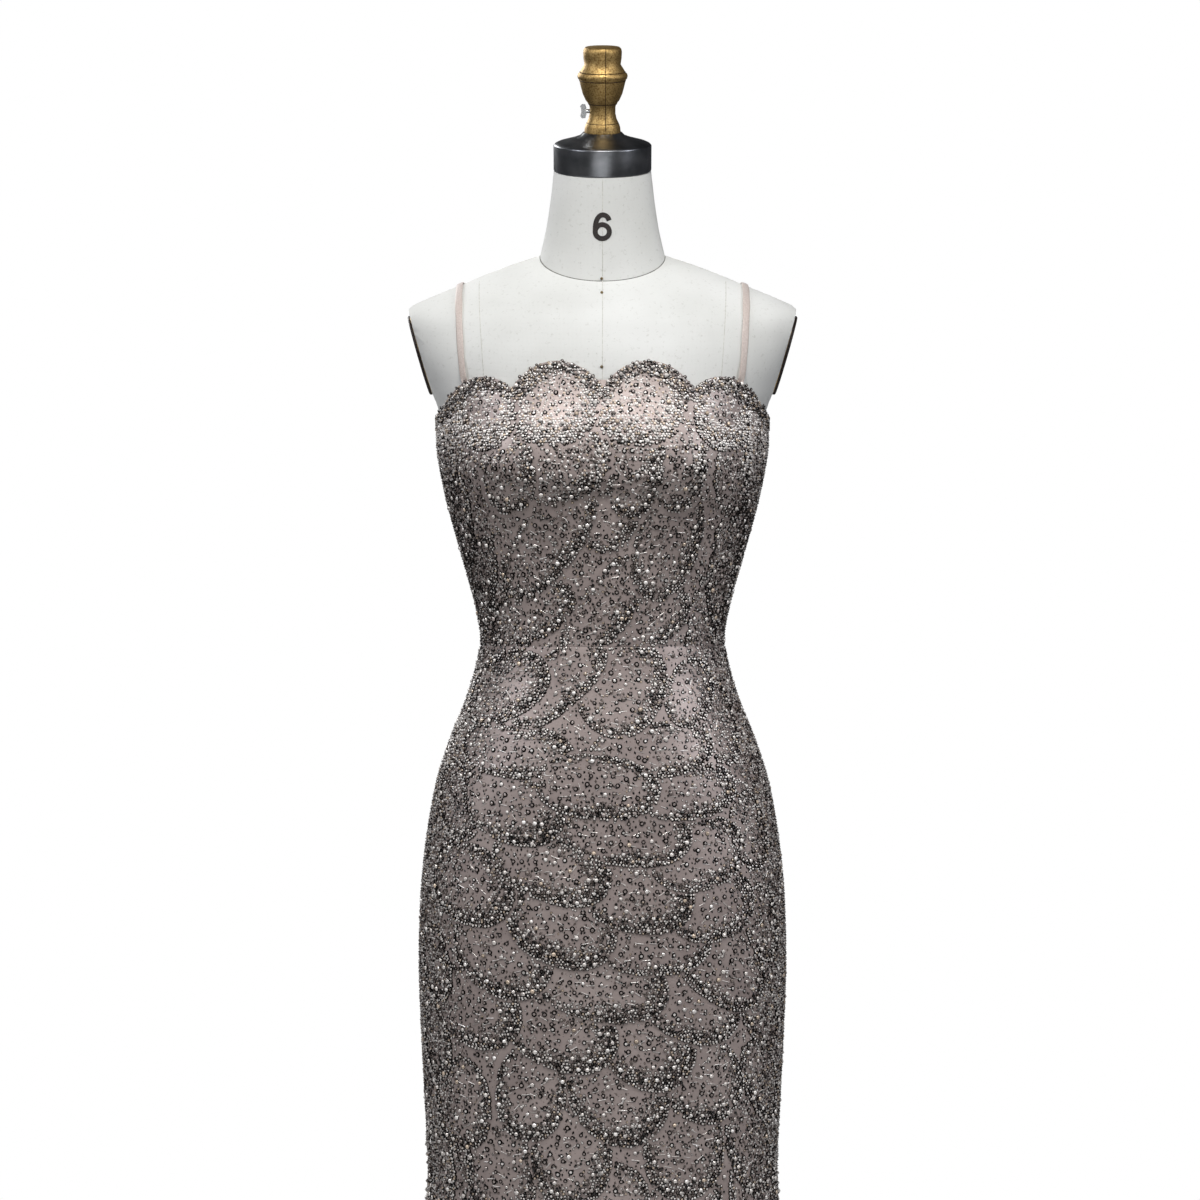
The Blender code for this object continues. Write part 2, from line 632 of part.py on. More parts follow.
def even_steps(points, count):
    lengths = [0.0]
    for a, b in zip(points, points[1:]):
        lengths.append(lengths[-1] + (b - a).length)
    steps = []
    index = 0
    for i in range(count + 1):
        target = lengths[-1] * i / count
        while index < len(points) - 2 and lengths[index + 1] < target:
            index += 1
        t = (target - lengths[index]) / (lengths[index + 1] - lengths[index])
        steps.append(points[index].lerp(points[index + 1], t))
    return steps


def build_zip(tape, steel):
    """A centre-back zip: its closed chain, the slider at the top and the pull tab that hangs."""
    levels = [ZIP_BOTTOM_Z] + [z for z in SKIRT_LEVELS + (WAIST_Z,) + BODICE_LEVELS
                               if ZIP_BOTTOM_Z + 0.01 < z < ZIP_TOP_Z - 0.006] + [ZIP_TOP_Z]
    grids = []
    for out in (CLOTH + SEAM_GAP, CLOTH + SEAM_GAP + ZIP_THICKNESS):
        rows = []
        for level in levels:
            middle = gown_point(math.pi, level, out)
            rows.append([middle + Vector((x, 0.0, 0.0))
                         for x in (-0.5 * ZIP_WIDTH, 0.0, 0.5 * ZIP_WIDTH)])
        grids.append(rows)
    add_object("zip_chain", wall(*grids), tape)

    seat_y = max(gown_point(math.pi, SLIDER_Z + z, 0.0).y for z in (-0.008, 0.0, 0.008))
    seat_y += CLOTH + 2.0 * SEAM_GAP + ZIP_THICKNESS
    body = bmesh.new()
    block(body, Vector((0.0, 0.5 * SLIDER_SIZE[1], 0.0)), SLIDER_SIZE)
    slider = add_object("zip_slider", body, steel)
    bridge = bmesh.new()
    block(bridge, Vector((0.0, BRIDGE_Y, 0.0)), BRIDGE_SIZE)
    combine(slider, bridge, "UNION", "slider_bridge")
    eye = bmesh.new()
    block(eye, Vector((0.0, PIVOT_Y, 0.0)), EYE_SIZE)
    combine(slider, eye, "DIFFERENCE", "slider_eye")

    bar = bmesh.new()
    rod(bar, Vector(), PULL_BAR_RADIUS, 2.0 * TAB_OUTLINE[0][0], 10)
    pull = add_object("zip_pull", bar, steel)
    outline = TAB_OUTLINE + [(-x, z) for x, z in reversed(TAB_OUTLINE)]
    combine(pull, plate(outline, TAB_THICKNESS), "UNION", "pull_tab")
    window = bmesh.new()
    block(window, Vector((0.0, 0.0, TAB_WINDOW_Z)), TAB_WINDOW_SIZE)
    combine(pull, window, "DIFFERENCE", "pull_window")
    for name in ("zip_slider", "slider_bridge", "slider_eye"):
        bpy.data.objects[name].location = (0.0, seat_y, SLIDER_Z)
    for name in ("zip_pull", "pull_tab", "pull_window"):
        bpy.data.objects[name].location = (0.0, seat_y + PIVOT_Y, SLIDER_Z)


def main():
    clear_scene()
    canvas = finish_material("cotton_canvas", (0.80, 0.80, 0.76), 0.85)
    board = finish_material("leather_board", (0.10, 0.07, 0.05), 0.55)
    steel = finish_material("polished_steel", (0.33, 0.34, 0.35), 0.22, 1.0)
    brass = finish_material("gilt_brass", (0.46, 0.29, 0.09), 0.34, 1.0)
    iron = finish_material("enamelled_iron", (0.05, 0.05, 0.055), 0.40)
    cloth = finish_material("beaded_satin", (0.30, 0.25, 0.235), 0.45)
    satin = finish_material("satin_ribbon", (0.58, 0.50, 0.46), 0.50)
    tape = finish_material("zip_coil", (0.25, 0.21, 0.20), 0.50)
    form = build_form(canvas, board)
    build_cap(steel)
    build_finial(brass, steel)
    build_stand(iron, steel)
    build_gown(cloth)
    build_straps(form, satin)
    build_zip(tape, steel)


main()
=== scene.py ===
import math

import bpy
import numpy as np
from mathutils import Matrix, Vector
from mathutils.bvhtree import BVHTree


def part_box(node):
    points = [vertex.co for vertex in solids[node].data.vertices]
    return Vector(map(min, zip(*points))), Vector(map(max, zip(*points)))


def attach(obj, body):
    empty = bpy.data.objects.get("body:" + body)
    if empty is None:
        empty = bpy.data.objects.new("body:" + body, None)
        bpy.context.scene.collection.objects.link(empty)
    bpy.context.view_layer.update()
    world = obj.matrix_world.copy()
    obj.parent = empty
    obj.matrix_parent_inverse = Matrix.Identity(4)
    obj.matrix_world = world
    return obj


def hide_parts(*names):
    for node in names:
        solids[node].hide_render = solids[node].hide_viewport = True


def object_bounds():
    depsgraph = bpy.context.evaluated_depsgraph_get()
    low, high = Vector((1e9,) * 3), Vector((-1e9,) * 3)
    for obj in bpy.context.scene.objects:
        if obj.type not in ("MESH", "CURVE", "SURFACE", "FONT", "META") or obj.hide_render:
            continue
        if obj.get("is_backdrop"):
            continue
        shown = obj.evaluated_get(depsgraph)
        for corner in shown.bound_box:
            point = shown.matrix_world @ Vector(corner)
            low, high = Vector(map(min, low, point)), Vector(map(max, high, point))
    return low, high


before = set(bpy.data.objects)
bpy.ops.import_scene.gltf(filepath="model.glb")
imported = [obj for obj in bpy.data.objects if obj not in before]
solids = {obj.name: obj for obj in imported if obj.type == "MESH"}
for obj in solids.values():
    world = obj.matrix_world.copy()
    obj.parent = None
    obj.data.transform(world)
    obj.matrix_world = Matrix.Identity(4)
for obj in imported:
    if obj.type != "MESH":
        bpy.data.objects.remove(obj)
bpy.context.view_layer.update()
MM = 0.001
ON_FORM = "gown_on_form"


# ---------------------------------------------------------------- stand: base and pole
# A turned cast-iron disc with a raised hub carries a bright steel tube, which runs up under
# the skirt into the form. The base is stove enamelled and the tube is drawn and nickelled.
def linear(shade):
    """The linear colour of an sRGB hex value."""
    channels = [int(shade[i:i + 2], 16) / 255.0 for i in (1, 3, 5)]
    return [c / 12.92 if c <= 0.04045 else ((c + 0.055) / 1.055) ** 2.4 for c in channels] + [1.0]


def add(tree, kind, settings):
    """Adds a node, or takes the one given, and sets or links each named setting."""
    node = tree.nodes.new(kind) if isinstance(kind, str) else kind
    for name, value in settings.items():
        if name == "stops":
            ramp = node.color_ramp.elements
            while len(ramp) < len(value):
                ramp.new(0.5)
            for stop, (place, shade) in zip(ramp, value):
                stop.position, stop.color = place, linear(shade)
        elif isinstance(name, str) and name not in node.inputs:
            setattr(node, name, value)
        elif isinstance(value, bpy.types.NodeSocket):
            tree.links.new(value, node.inputs[name])
        else:
            node.inputs[name].default_value = value
    return node


def finish(name):
    """A new material, its node tree and its surface shader."""
    material = bpy.data.materials.new(name)
    material.use_nodes = True
    return material, material.node_tree, material.node_tree.nodes["Principled BSDF"]


def texture(tree, kind, scale, lean=0.0, **settings):
    """The value of a procedural texture, in the piece's own metres. A scale for each axis
    stretches it, along axes that lean by an angle about X."""
    place = add(tree, "ShaderNodeTexCoord", {}).outputs["Object"]
    if isinstance(scale, tuple):
        size = tuple(1.0 / axis for axis in scale)
        place = add(tree, "ShaderNodeMapping", {"vector_type": "TEXTURE", "Vector": place,
                                                "Rotation": (lean, 0.0, 0.0),
                                                "Scale": size}).outputs["Vector"]
        scale = 1.0
    made = add(tree, "ShaderNodeTex" + kind, {"Vector": place, "Scale": scale, **settings})
    return made.outputs["Distance" if kind == "Voronoi" else "Fac"]


def tones(tree, value, *stops):
    """A colour for a texture's value, from places in its range and their hex colours."""
    return add(tree, "ShaderNodeValToRGB", {"Fac": value, "stops": stops}).outputs["Color"]


def multiplied(tree, share, first, second):
    """The first colour darkened by the second, by a share."""
    return add(tree, "ShaderNodeMixRGB", {"blend_type": "MULTIPLY", "Fac": share,
                                          "Color1": first, "Color2": second}).outputs["Color"]


def between(tree, value, low, high):
    """A texture's value, from 0 to 1, brought between low and high."""
    return add(tree, "ShaderNodeMapRange", {"Value": value, "To Min": low,
                                            "To Max": high}).outputs["Result"]


def relief(tree, height, strength, distance, invert=False):
    """Small relief from a texture's value, distance metres high."""
    return add(tree, "ShaderNodeBump", {"Height": height, "Strength": strength,
                                        "Distance": distance, "invert": invert}).outputs["Normal"]


def mottled(name, scale, *stops, detail=2.0, **settings):
    """A finish whose tone varies with one noise."""
    material, tree, shader = finish(name)
    grain = texture(tree, "Noise", scale, Detail=detail)
    add(tree, shader, {"Base Color": tones(tree, grain, *stops), **settings})
    return material


def bright_metal(name, shade, scale, low, high, detail=2.0):
    """A metal of one colour whose roughness varies with one noise, from low to high."""
    material, tree, shader = finish(name)
    bloom = texture(tree, "Noise", scale, Detail=detail)
    add(tree, shader, {"Base Color": linear(shade), "Metallic": 1.0,
                       "Roughness": between(tree, bloom, low, high)})
    return material


def wear(node_name, material, sharp=38.0):
    """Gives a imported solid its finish, and shades it smooth up to an angle in degrees."""
    solid = solids[node_name]
    for held in solid.material_slots:
        held.material = material
    if "custom_normal" in solid.data.attributes:
        solid.data.attributes.remove(solid.data.attributes["custom_normal"])
    solid.data.shade_smooth()
    solid.modifiers.new("joined", "WELD").merge_threshold = 0.01 * MM
    solid.modifiers.new("creased", "EDGE_SPLIT").split_angle = math.radians(sharp)


ENAMEL_GRAIN = 2.2 * MM       # orange peel of the stoved enamel

# Stove enamel on cast iron: near black, half gloss, with a soft orange peel over the casting.
stove_enamel, tree, shader = finish("stove_enamelled_cast_iron")
peel = texture(tree, "Noise", 1.0 / ENAMEL_GRAIN, Detail=2.0)
scuffs = texture(tree, "Noise", 45.0, Detail=6.0, Roughness=0.65)
add(tree, shader, {"Base Color": tones(tree, scuffs, (0.35, "#17181A"), (0.72, "#2B2C2E")),
                   "Roughness": between(tree, scuffs, 0.26, 0.48),
                   "Normal": relief(tree, peel, 0.25, 0.2 * MM)})
wear("stand_base", stove_enamel)

# Drawn steel tube, nickelled: fine lengthwise streaks that stretch its highlights.
drawn_steel, tree, shader = finish("drawn_nickelled_steel_tube")
streaks = texture(tree, "Noise", (700.0, 700.0, 12.0), Detail=3.0)
add(tree, shader, {"Base Color": tones(tree, streaks, (0.3, "#8E9092"), (0.7, "#B4B6B7")),
                   "Roughness": between(tree, streaks, 0.18, 0.34), "Metallic": 1.0})
wear("stand_pole", drawn_steel)


# ---------------------------------------------------------------- dress form: canvas body
# A papier-mache shell covered with padding and tight off-white cotton canvas. The canvas is
# cut in panels, and each seam shows as a fine turned ridge, painted darker than the canvas
# as the shade beside it.
WEAVE = 1.3 * MM              # real threads are 0.55 mm apart; drawn this coarse to show

# Plain-woven cotton canvas: matt, with a faint weave, slubs and a little dust in the pile.
canvas, tree, shader = finish("plain_woven_cotton_canvas")
warp, weft = (texture(tree, "Wave", 0.32 / WEAVE, bands_direction=axis, Distortion=1.2,
                      Detail=2.0, **{"Detail Scale": 1.5}) for axis in "XZ")
woven = add(tree, "ShaderNodeMath", {"operation": "ADD", 0: warp, 1: weft}).outputs["Value"]
slub = texture(tree, "Noise", 260.0, Detail=4.0, Roughness=0.7)
cloud = texture(tree, "Noise", 9.0, Detail=3.0)
cotton = multiplied(tree, 0.55, tones(tree, cloud, (0.3, "#D5D6D2"), (0.7, "#E4E5E2")),
                    tones(tree, slub, (0.25, "#C9C8C1"), (0.42, "#FFFFFF")))
add(tree, shader, {"Base Color": cotton, "Roughness": 0.92, "Sheen Weight": 0.12,
                   "Sheen Roughness": 0.6, "Normal": relief(tree, woven, 0.16, 0.25 * MM)})
wear("form_body", canvas)

SEAM_RADIUS = 0.42 * MM
ASIDE = Vector((0.31, 0.52, 0.80))   # a direction that no seam or line runs in
SEAM_SINK = 0.18 * MM         # how far the turned seam lies in the canvas
NECKLINE_LOW_Z = 1.262        # seams run down to here, under the gown's edge
SHOULDER = (0.0660, 0.1800)   # where the shoulder seam starts and ends, out from the middle
NECK_HALF_WIDTH, NECK_SIDE_Z = 0.0625, 1.4285
NECK_FRONT = (0.0420, 1.3990)   # depth and height of the neck's seam at the front
NECK_BACK = (0.0820, 1.4460)
NECK_SEAM_RADIUS = 0.55 * MM

body_tree = BVHTree.FromObject(solids["form_body"], bpy.context.evaluated_depsgraph_get())


def on_form(start, towards):
    """Where a straight line from start meets the canvas, and the outward direction there."""
    spot, normal, _, _ = body_tree.ray_cast(Vector(start), Vector(towards).normalized())
    return spot, normal


def steps(low, high, count):
    """Numbers at even steps from low to high."""
    return [low + (high - low) * i / (count - 1) for i in range(count)]


def circle(count):
    """Even turns once round."""
    return steps(0.0, 2.0 * math.pi, count + 1)[:-1]


def skin(first, rings, points, closed=False, around=True, capped=False):
    """Faces between rings of points, which follow each other from the vertex first."""
    faces = []
    for i in range(rings if closed else rings - 1):
        here, above = first + i * points, first + (i + 1) % rings * points
        for k in range(points if around else points - 1):
            m = (k + 1) % points
            faces.append((here + k, here + m, above + m, above + k))
    if capped:
        last = first + (rings - 1) * points
        faces += [tuple(range(first, first + points))[::-1], tuple(range(last, last + points))]
    return faces


def thread_mesh(lines, radius, sides=6, closed=False):
    """Round threads along lines of points, as vertices and faces."""
    verts, faces = [], []
    for line in lines:
        count = len(line)
        faces += skin(len(verts), count, sides, closed)
        for i, point in enumerate(line):
            ahead = Vector(line[(i + 1) % count if closed else min(i + 1, count - 1)])
            behind = Vector(line[(i - 1) % count if closed else max(i - 1, 0)])
            along = (ahead - behind).normalized()
            side = along.cross(ASIDE).normalized()
            up = along.cross(side)
            verts += [Vector(point) + (side * math.cos(turn) + up * math.sin(turn)) * radius
                      for turn in circle(sides)]
    return verts, faces


def show(name, mesh, material):
    """Puts a mesh of one material in the scene, shaded smooth."""
    mesh.materials.append(material)
    mesh.shade_smooth()
    obj = bpy.data.objects.new(name, mesh)
    bpy.context.scene.collection.objects.link(obj)
    return obj


def piece(name, verts, faces, material, slot=None, sharp=40.0):
    """A named piece that rides with the form, creased where it turns by more than sharp."""
    mesh = bpy.data.meshes.new(name)
    mesh.from_pydata([tuple(vert) for vert in verts], [], faces)
    obj = show(name, mesh, material)
    mesh.set_sharp_from_angle(angle=math.radians(sharp))
    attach(obj, ON_FORM)
    return obj


def round_head(name, middle, turn, radius, squash, segments, material, slot=None):
    """The head of a pin or screw: a ball squashed along its own axis, then turned."""
    around, along = segments
    ball = [(math.sin(fall) * math.sin(spin), math.sin(fall) * math.cos(spin), math.cos(fall))
            for fall in steps(0.0, math.pi, along + 1)[1:-1] for spin in circle(around)]
    verts = [middle + turn @ Vector((x * radius, y * radius, squash * z * radius))
             for x, y, z in ball + [(0.0, 0.0, 1.0), (0.0, 0.0, -1.0)]]
    low, top, foot = (along - 2) * around, len(ball), len(ball) + 1
    faces = skin(0, along - 1, around)
    for k in range(around):
        m = (k + 1) % around
        faces += [(top, m, k), (foot, low + k, low + m)]
    return piece(name, verts, faces, material, slot)


def seam_down(side, low, high, count, x=0.0, at_z=0.0, spread=0.0):
    """Points of a seam on the front (side -1) or back (side 1) of the form. It lies x from the
    middle at a height, and moves out by spread for each metre up."""
    line = []
    for z in steps(low, high, count):
        spot, normal = on_form((x + spread * (z - at_z), side * 0.5, z), (0.0, -side, 0.0))
        if spot is not None:
            line.append(spot - normal * SEAM_SINK)
    return line


seams = [seam_down(-1, NECKLINE_LOW_Z, 1.400, 50), seam_down(-1, 1.404, 1.505, 36),
         seam_down(1, 1.236, 1.444, 64), seam_down(1, 1.450, 1.520, 24)]
for hand in (-1, 1):
    # Princess seams: from the middle of each shoulder towards the bust, and down the back.
    seams.append(seam_down(-1, NECKLINE_LOW_Z, 1.402, 50, hand * 0.1150, 1.30, hand * 0.075))
    seams.append(seam_down(1, 1.240, 1.404, 50, hand * 0.1000, 1.26, hand * 0.105))
    # The shoulder seam runs along the top from the neck to the arm plate.
    ridge = []
    for x in steps(*SHOULDER, 36):
        y = 0.010 + 0.03 * (x - SHOULDER[0])
        spot, normal = on_form((hand * x, y, 2.0), (0.0, 0.0, -1.0))
        ridge.append(spot - normal * SEAM_SINK)
    seams.append(ridge)

# Sewn canvas seam: the turned edge is the same cotton, painted darker as the shade along
# the seam.
shade_painted_seam_cotton = mottled("turned_canvas_seam", 400.0, (0.3, "#B9B8B0"), (0.7, "#D8D7D0"),
                      Roughness=0.95)
piece("form_seams", *thread_mesh(seams, SEAM_RADIUS), shade_painted_seam_cotton, slot="canvas")

# The neck is set in with a deeper seam; its groove is drawn as a dark grey thread all round,
# painted shade.
neck_seam_shade = mottled("neck_seam_painted_shade", 300.0, (0.3, "#6F6E69"), (0.7, "#8F8E88"),
                      Roughness=0.95)
ring = []
for turn in circle(96):
    depth, middle_z = NECK_FRONT if math.cos(turn) > 0.0 else NECK_BACK
    height = NECK_SIDE_Z + (middle_z - NECK_SIDE_Z) * abs(math.cos(turn))
    ring.append(Vector((NECK_HALF_WIDTH * math.sin(turn), -math.cos(turn) * depth, height)))
piece("neck_base_seam", *thread_mesh([ring], NECK_SEAM_RADIUS, closed=True), neck_seam_shade,
      slot="canvas")

# The size number: screen-printed in dark brown ink on the front of the neck, pressed into the
# weave. It is a plain bold figure of two thick strokes that lie on the curved canvas.
FIGURE_STROKE = 4.9           # mm, as are the points below
STROKE_SHARES = (-1.0, -0.5, 0.0, 0.5, 1.0)   # points across it
FIGURE_FOOT_Z = 1.4388
BOWL_MIDDLE, BOWL_HALF_SIZE = (-0.25, 9.25), (6.95, 6.85)
STEM = ((-7.1, 10.0), (-7.1, 14.0), (-6.6, 18.0), (-5.0, 22.3), (-2.5, 25.1), (0.3, 25.9),
        (3.3, 25.1), (5.5, 23.0), (6.55, 20.2))
INK = 0.30                    # mm that the stem stands off the canvas
INK_OVERLAP = 0.02            # mm more for the bowl, which crosses it


def walked(points, axis=0):
    """How far each point lies along its line of points."""
    legs = np.linalg.norm(np.diff(points, axis=axis), axis=-1)
    return np.insert(np.cumsum(legs, axis=axis), 0, 0.0, axis=axis)


def resample(points, ways, count):
    """Evenly spaced points of a line, whose points lie at ways along it."""
    want = np.linspace(0.0, ways[-1], count)
    return np.stack([np.interp(want, ways, column) for column in np.asarray(points).T], 1)


def smoothed(line, ends):
    """A line with each point moved to the mean of the five about it, apart from its ends."""
    return np.array([line[max(i - 2, 0):i + 3].mean(axis=0) if ends <= i < len(line) - ends
                     else line[i] for i in range(len(line))])


# Printing ink: dark brown and half matt, broken by the weave under it.
printed = mottled("screen_printed_ink", 900.0, (0.35, "#1E1917"), (0.75, "#342C28"), detail=3.0,
                  Roughness=0.7)
bowl = [(BOWL_MIDDLE[0] + BOWL_HALF_SIZE[0] * math.sin(turn),
         BOWL_MIDDLE[1] + BOWL_HALF_SIZE[1] * math.cos(turn)) for turn in circle(60)]
stem = smoothed(resample(STEM, walked(STEM), 40), 1)
verts, faces = [], []
for line, closed in ((bowl + bowl[:1], True), (stem, False)):
    last = len(line) - 1
    faces += skin(len(verts), len(line), len(STROKE_SHARES), around=False)
    for i, (x, z) in enumerate(line):
        ahead, behind = line[min(i + 1, last)], line[max(i - 1, 0)]
        if closed:
            ahead, behind = line[(i + 1) % last], line[(i - 1) % last]
        across = Vector((behind[1] - ahead[1], ahead[0] - behind[0])).normalized()
        for share in STROKE_SHARES:
            px, pz = Vector((x, z)) + across * share * FIGURE_STROKE * 0.5
            spot, normal = on_form((px * MM, -0.5, FIGURE_FOOT_Z + pz * MM), (0.0, 1.0, 0.0))
            verts.append(spot + normal * (INK + INK_OVERLAP * closed) * MM)
piece("size_number", verts, faces, printed, slot="canvas")

# Three brass pins hold the canvas at the centre front, pushed in to their round heads.
PIN_HEAD = 1.5 * MM
PIN_RISE = 0.6 * MM           # how far the middle of a head stands off the canvas
PIN_X, PIN_HEIGHTS = -0.0008, (1.4015, 1.3855, 1.3095)

# Brass of the pins: small bright heads, dulled by handling.
brass_pin = bright_metal("brass_pin_head", "#7D6F55", 700.0, 0.2, 0.45)
for number, z in enumerate(PIN_HEIGHTS, 1):
    spot, normal = on_form((PIN_X, -0.5, z), (0.0, 1.0, 0.0))
    round_head(f"pin_{number}", spot + normal * PIN_RISE, Matrix.Identity(3), PIN_HEAD, 1.0,
               (14, 8), brass_pin)


# ---------------------------------------------------------------- arm plates
# Millboard ovals covered with dark brown leathercloth close the armholes. A thin brass rim is
# pressed over the canvas edge, and a small screw holds each plate in the middle.
PLATE_HALF_HEIGHT = 0.041
PLATE_HALF_DEPTH = 0.036
PLATE_LEAN = 0.285            # how far the plate moves outwards for each metre it rises
LEATHER_GRAIN = 1.5 * MM
RIM_RADIUS = 0.7 * MM
RIM_OVERLAP = 0.2 * MM        # how far the rim lies past the plate's edge
RIM_SINK = 1.5 * MM           # how far it lies in from the plate's middle
SCREW_RADIUS = 5.0 * MM
SCREW_RISE = 1.2 * MM         # how far the middle of its low head stands off the plate's
SCREW_FLATNESS = 0.42

# Leathercloth: embossed grain under a half-matt dark brown coat.
leathercloth, tree, shader = finish("embossed_leathercloth")
pebble = texture(tree, "Voronoi", 1.0 / LEATHER_GRAIN)
add(tree, shader, {"Base Color": tones(tree, pebble, (0.1, "#3A2C25"), (0.7, "#241A16")),
                   "Roughness": 0.46, "Normal": relief(tree, pebble, 0.35, 0.3 * MM, True)})

# Pressed brass strip: bright, slightly hazed yellow metal.
brass_strip = bright_metal("pressed_brass_strip", "#B59A62", 300.0, 0.22, 0.42)
for hand, side in ((-1, "right"), (1, "left")):
    wear("arm_plate_" + side, leathercloth)
    low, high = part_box("arm_plate_" + side)
    middle = (low + high) * 0.5
    out = Vector((hand, 0.0, -PLATE_LEAN)).normalized()
    up = Vector((hand * PLATE_LEAN, 0.0, 1.0)).normalized()
    rim = [middle - out * RIM_SINK + up * (PLATE_HALF_HEIGHT + RIM_OVERLAP) * math.cos(turn)
           + Vector((0.0, (PLATE_HALF_DEPTH + RIM_OVERLAP) * math.sin(turn), 0.0))
           for turn in circle(72)]
    piece("arm_plate_rim_" + side, *thread_mesh([rim], RIM_RADIUS, 8, True), brass_strip,
          slot="gilt")
    round_head("arm_plate_screw_" + side, middle + out * SCREW_RISE,
               out.to_track_quat("Z", "Y").to_matrix(), SCREW_RADIUS, SCREW_FLATNESS, (20, 10),
               brass_strip, "gilt")


# ---------------------------------------------------------------- neck cap, finial, screw
# The neck ends in a spun steel cap under a cast and gilt brass finial on the stand's rod. A
# small winged screw in the finial's waist clamps the rod. They lean forward with the neck.
NECK_LEAN = math.radians(17.5)
NECK_TOP = Vector((0.0, 4.0 * MM, 1.515))   # the middle of the canvas neck's top

# Spun steel, polished and darkened: faint turning lines round it and a deep mirror.
spun_steel, tree, shader = finish("spun_blackened_steel")
lines = texture(tree, "Noise", (18.0, 18.0, 1200.0), NECK_LEAN, Detail=3.0)
smears = texture(tree, "Noise", 60.0, Detail=5.0)
add(tree, shader, {"Base Color": tones(tree, smears, (0.3, "#6E7175"), (0.7, "#909296")),
                   "Roughness": between(tree, smears, 0.26, 0.40), "Metallic": 1.0,
                   "Normal": relief(tree, lines, 0.12, 0.05 * MM)})
wear("neck_cap", spun_steel, 62.0)
solids["neck_cap"].modifiers.new("rolled_edge", "WEIGHTED_NORMAL").weight = 100

# Cast brass, gilt: pitted where the sand left its mark, brown in the hollows.
CASTING_PIT = 1.3 * MM
gilt_brass, tree, shader = finish("sand_cast_gilt_brass")
pits = texture(tree, "Voronoi", 1.0 / CASTING_PIT)
casting = texture(tree, "Noise", 620.0, Detail=3.0, Roughness=0.6)
pitted = add(tree, "ShaderNodeMath", {"operation": "MULTIPLY", 0: pits, 1: casting})
add(tree, shader, {"Base Color": tones(tree, casting, (0.30, "#7C5D33"), (0.56, "#BC9F68")),
                   "Roughness": between(tree, casting, 0.62, 0.42), "Metallic": 1.0,
                   "Normal": relief(tree, pitted.outputs["Value"], 0.6, 0.4 * MM)})
wear("finial", gilt_brass, 52.0)

# Zinc-plated steel of the small screw and of the zip's slider and pull: pale, with a soft bloom.
plated_steel = bright_metal("zinc_plated_steel", "#D4D6D8", 500.0, 0.18, 0.38, detail=3.0)
for node in ("thumbscrew", "zip_slider", "zip_pull"):
    wear(node, plated_steel)

# The two halves of the casting meet in a fine vertical line down the front.
MOULD_X = 3.0 * MM            # how far it lies to the side of the middle
MOULD_START, MOULD_STOP = 3.0 * MM, 8.0 * MM   # up from the foot, and down from the top
MOULD_RADIUS, MOULD_SINK = 0.42 * MM, 0.15 * MM
finial_tree = BVHTree.FromObject(solids["finial"], bpy.context.evaluated_depsgraph_get())
low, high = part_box("finial")
mould_line = []
for z in steps(low.z + MOULD_START, high.z - MOULD_STOP, 60):
    spot, normal, _, _ = finial_tree.ray_cast(Vector((MOULD_X, -0.2, z)), Vector((0, 1, 0)))
    mould_line.append(spot - normal * MOULD_SINK)

# Gilding worn off the mould line leaves dark, dull metal. The same dark metal laid in the
# grooves below is painted shade.
worn_brass_and_shade = mottled("worn_brass_and_painted_groove_shade", 500.0, (0.35, "#20160A"), (0.7, "#5C4520"),
                     Roughness=0.6, Metallic=0.5)
piece("finial_mould_line", *thread_mesh([mould_line], MOULD_RADIUS), worn_brass_and_shade, slot="gilt")

# Turned grooves part the finial's foot, neck, vase, ring and cup, each drawn as a thin dark
# ring: painted shade in the groove. For each: height above the middle of the neck's top and
# radius in mm, square to the leaning neck.
GROOVES = ((47.6, 15.7), (66.6, 14.2), (89.6, 22.9), (97.8, 22.5))
GROOVE_RADIUS = 0.45 * MM
lean = Matrix.Rotation(NECK_LEAN, 3, "X")
grooves = [[NECK_TOP + lean @ Vector((radius * MM * math.sin(turn), -radius * MM * math.cos(turn),
                                      rise * MM)) for turn in circle(48)]
           for rise, radius in GROOVES]
piece("finial_grooves", *thread_mesh(grooves, GROOVE_RADIUS, closed=True), worn_brass_and_shade, slot="gilt")


# ---------------------------------------------------------------- gown: its cut and cloth
# Mauve-taupe duchesse satin under beaded net, lined: a front and two backs above the waist
# seam, three more panels below it. The panels follow the form, then the skirt's own line.
CLOTH = 1.8 * MM              # satin, net and lining together
SATIN_BACK = 0.7 * MM         # where the satin shell's inner side lies
EASE = 1.3 * MM               # between the form and the cloth
WAIST_Z = 1.040
HEM_Z = 0.018
FLUTE_TOP_Z = 0.455
FLUTES = 8
FLUTE_DEPTH = 0.013
HALF_GAP = 0.15 * MM          # half the gap between two panels at a seam
ZIP_LOW_Z, ZIP_HIGH_Z = 0.850, 1.236

# Sections from the hem up: height, half width, front and back depth in mm, squareness.
SECTIONS = np.array(((18, 290, 242, 268, 2), (80, 277, 229, 253, 2), (160, 256, 207, 228, 2.02),
    (250, 231, 180, 198, 2.05), (340, 203, 148, 163, 2.1), (410, 182, 122, 135, 2.15),
    (450, 174.8, 111, 124, 2.2), (485, 171.5, 107, 120, 2.25), (525, 170, 106, 120, 2.25),
    (585, 173.2, 107, 122, 2.25), (645, 176.2, 108, 126, 2.25), (715, 179, 110, 132, 2.25),
    (765, 178.5, 112, 135, 2.25), (805, 176.5, 112, 135, 2.25), (850, 171.6, 110, 131, 2.2),
    (905, 161.7, 108, 120, 2.15), (945, 149.2, 104, 108, 2.1), (985, 133.2, 97, 98, 2.1),
    (1020, 122.5, 91.5, 92.5, 2.1), (1050, 118.2, 90, 91.5, 2.1), (1085, 124.7, 93, 96, 2.1),
    (1134, 138.2, 101, 103, 2.15), (1185, 151.9, 106, 108, 2.2), (1235, 161.2, 108, 112, 2.3),
    (1275, 163.5, 107, 115, 2.35), (1320, 186.5, 102, 119, 2.45))) * (MM, MM, MM, MM, 1.0)
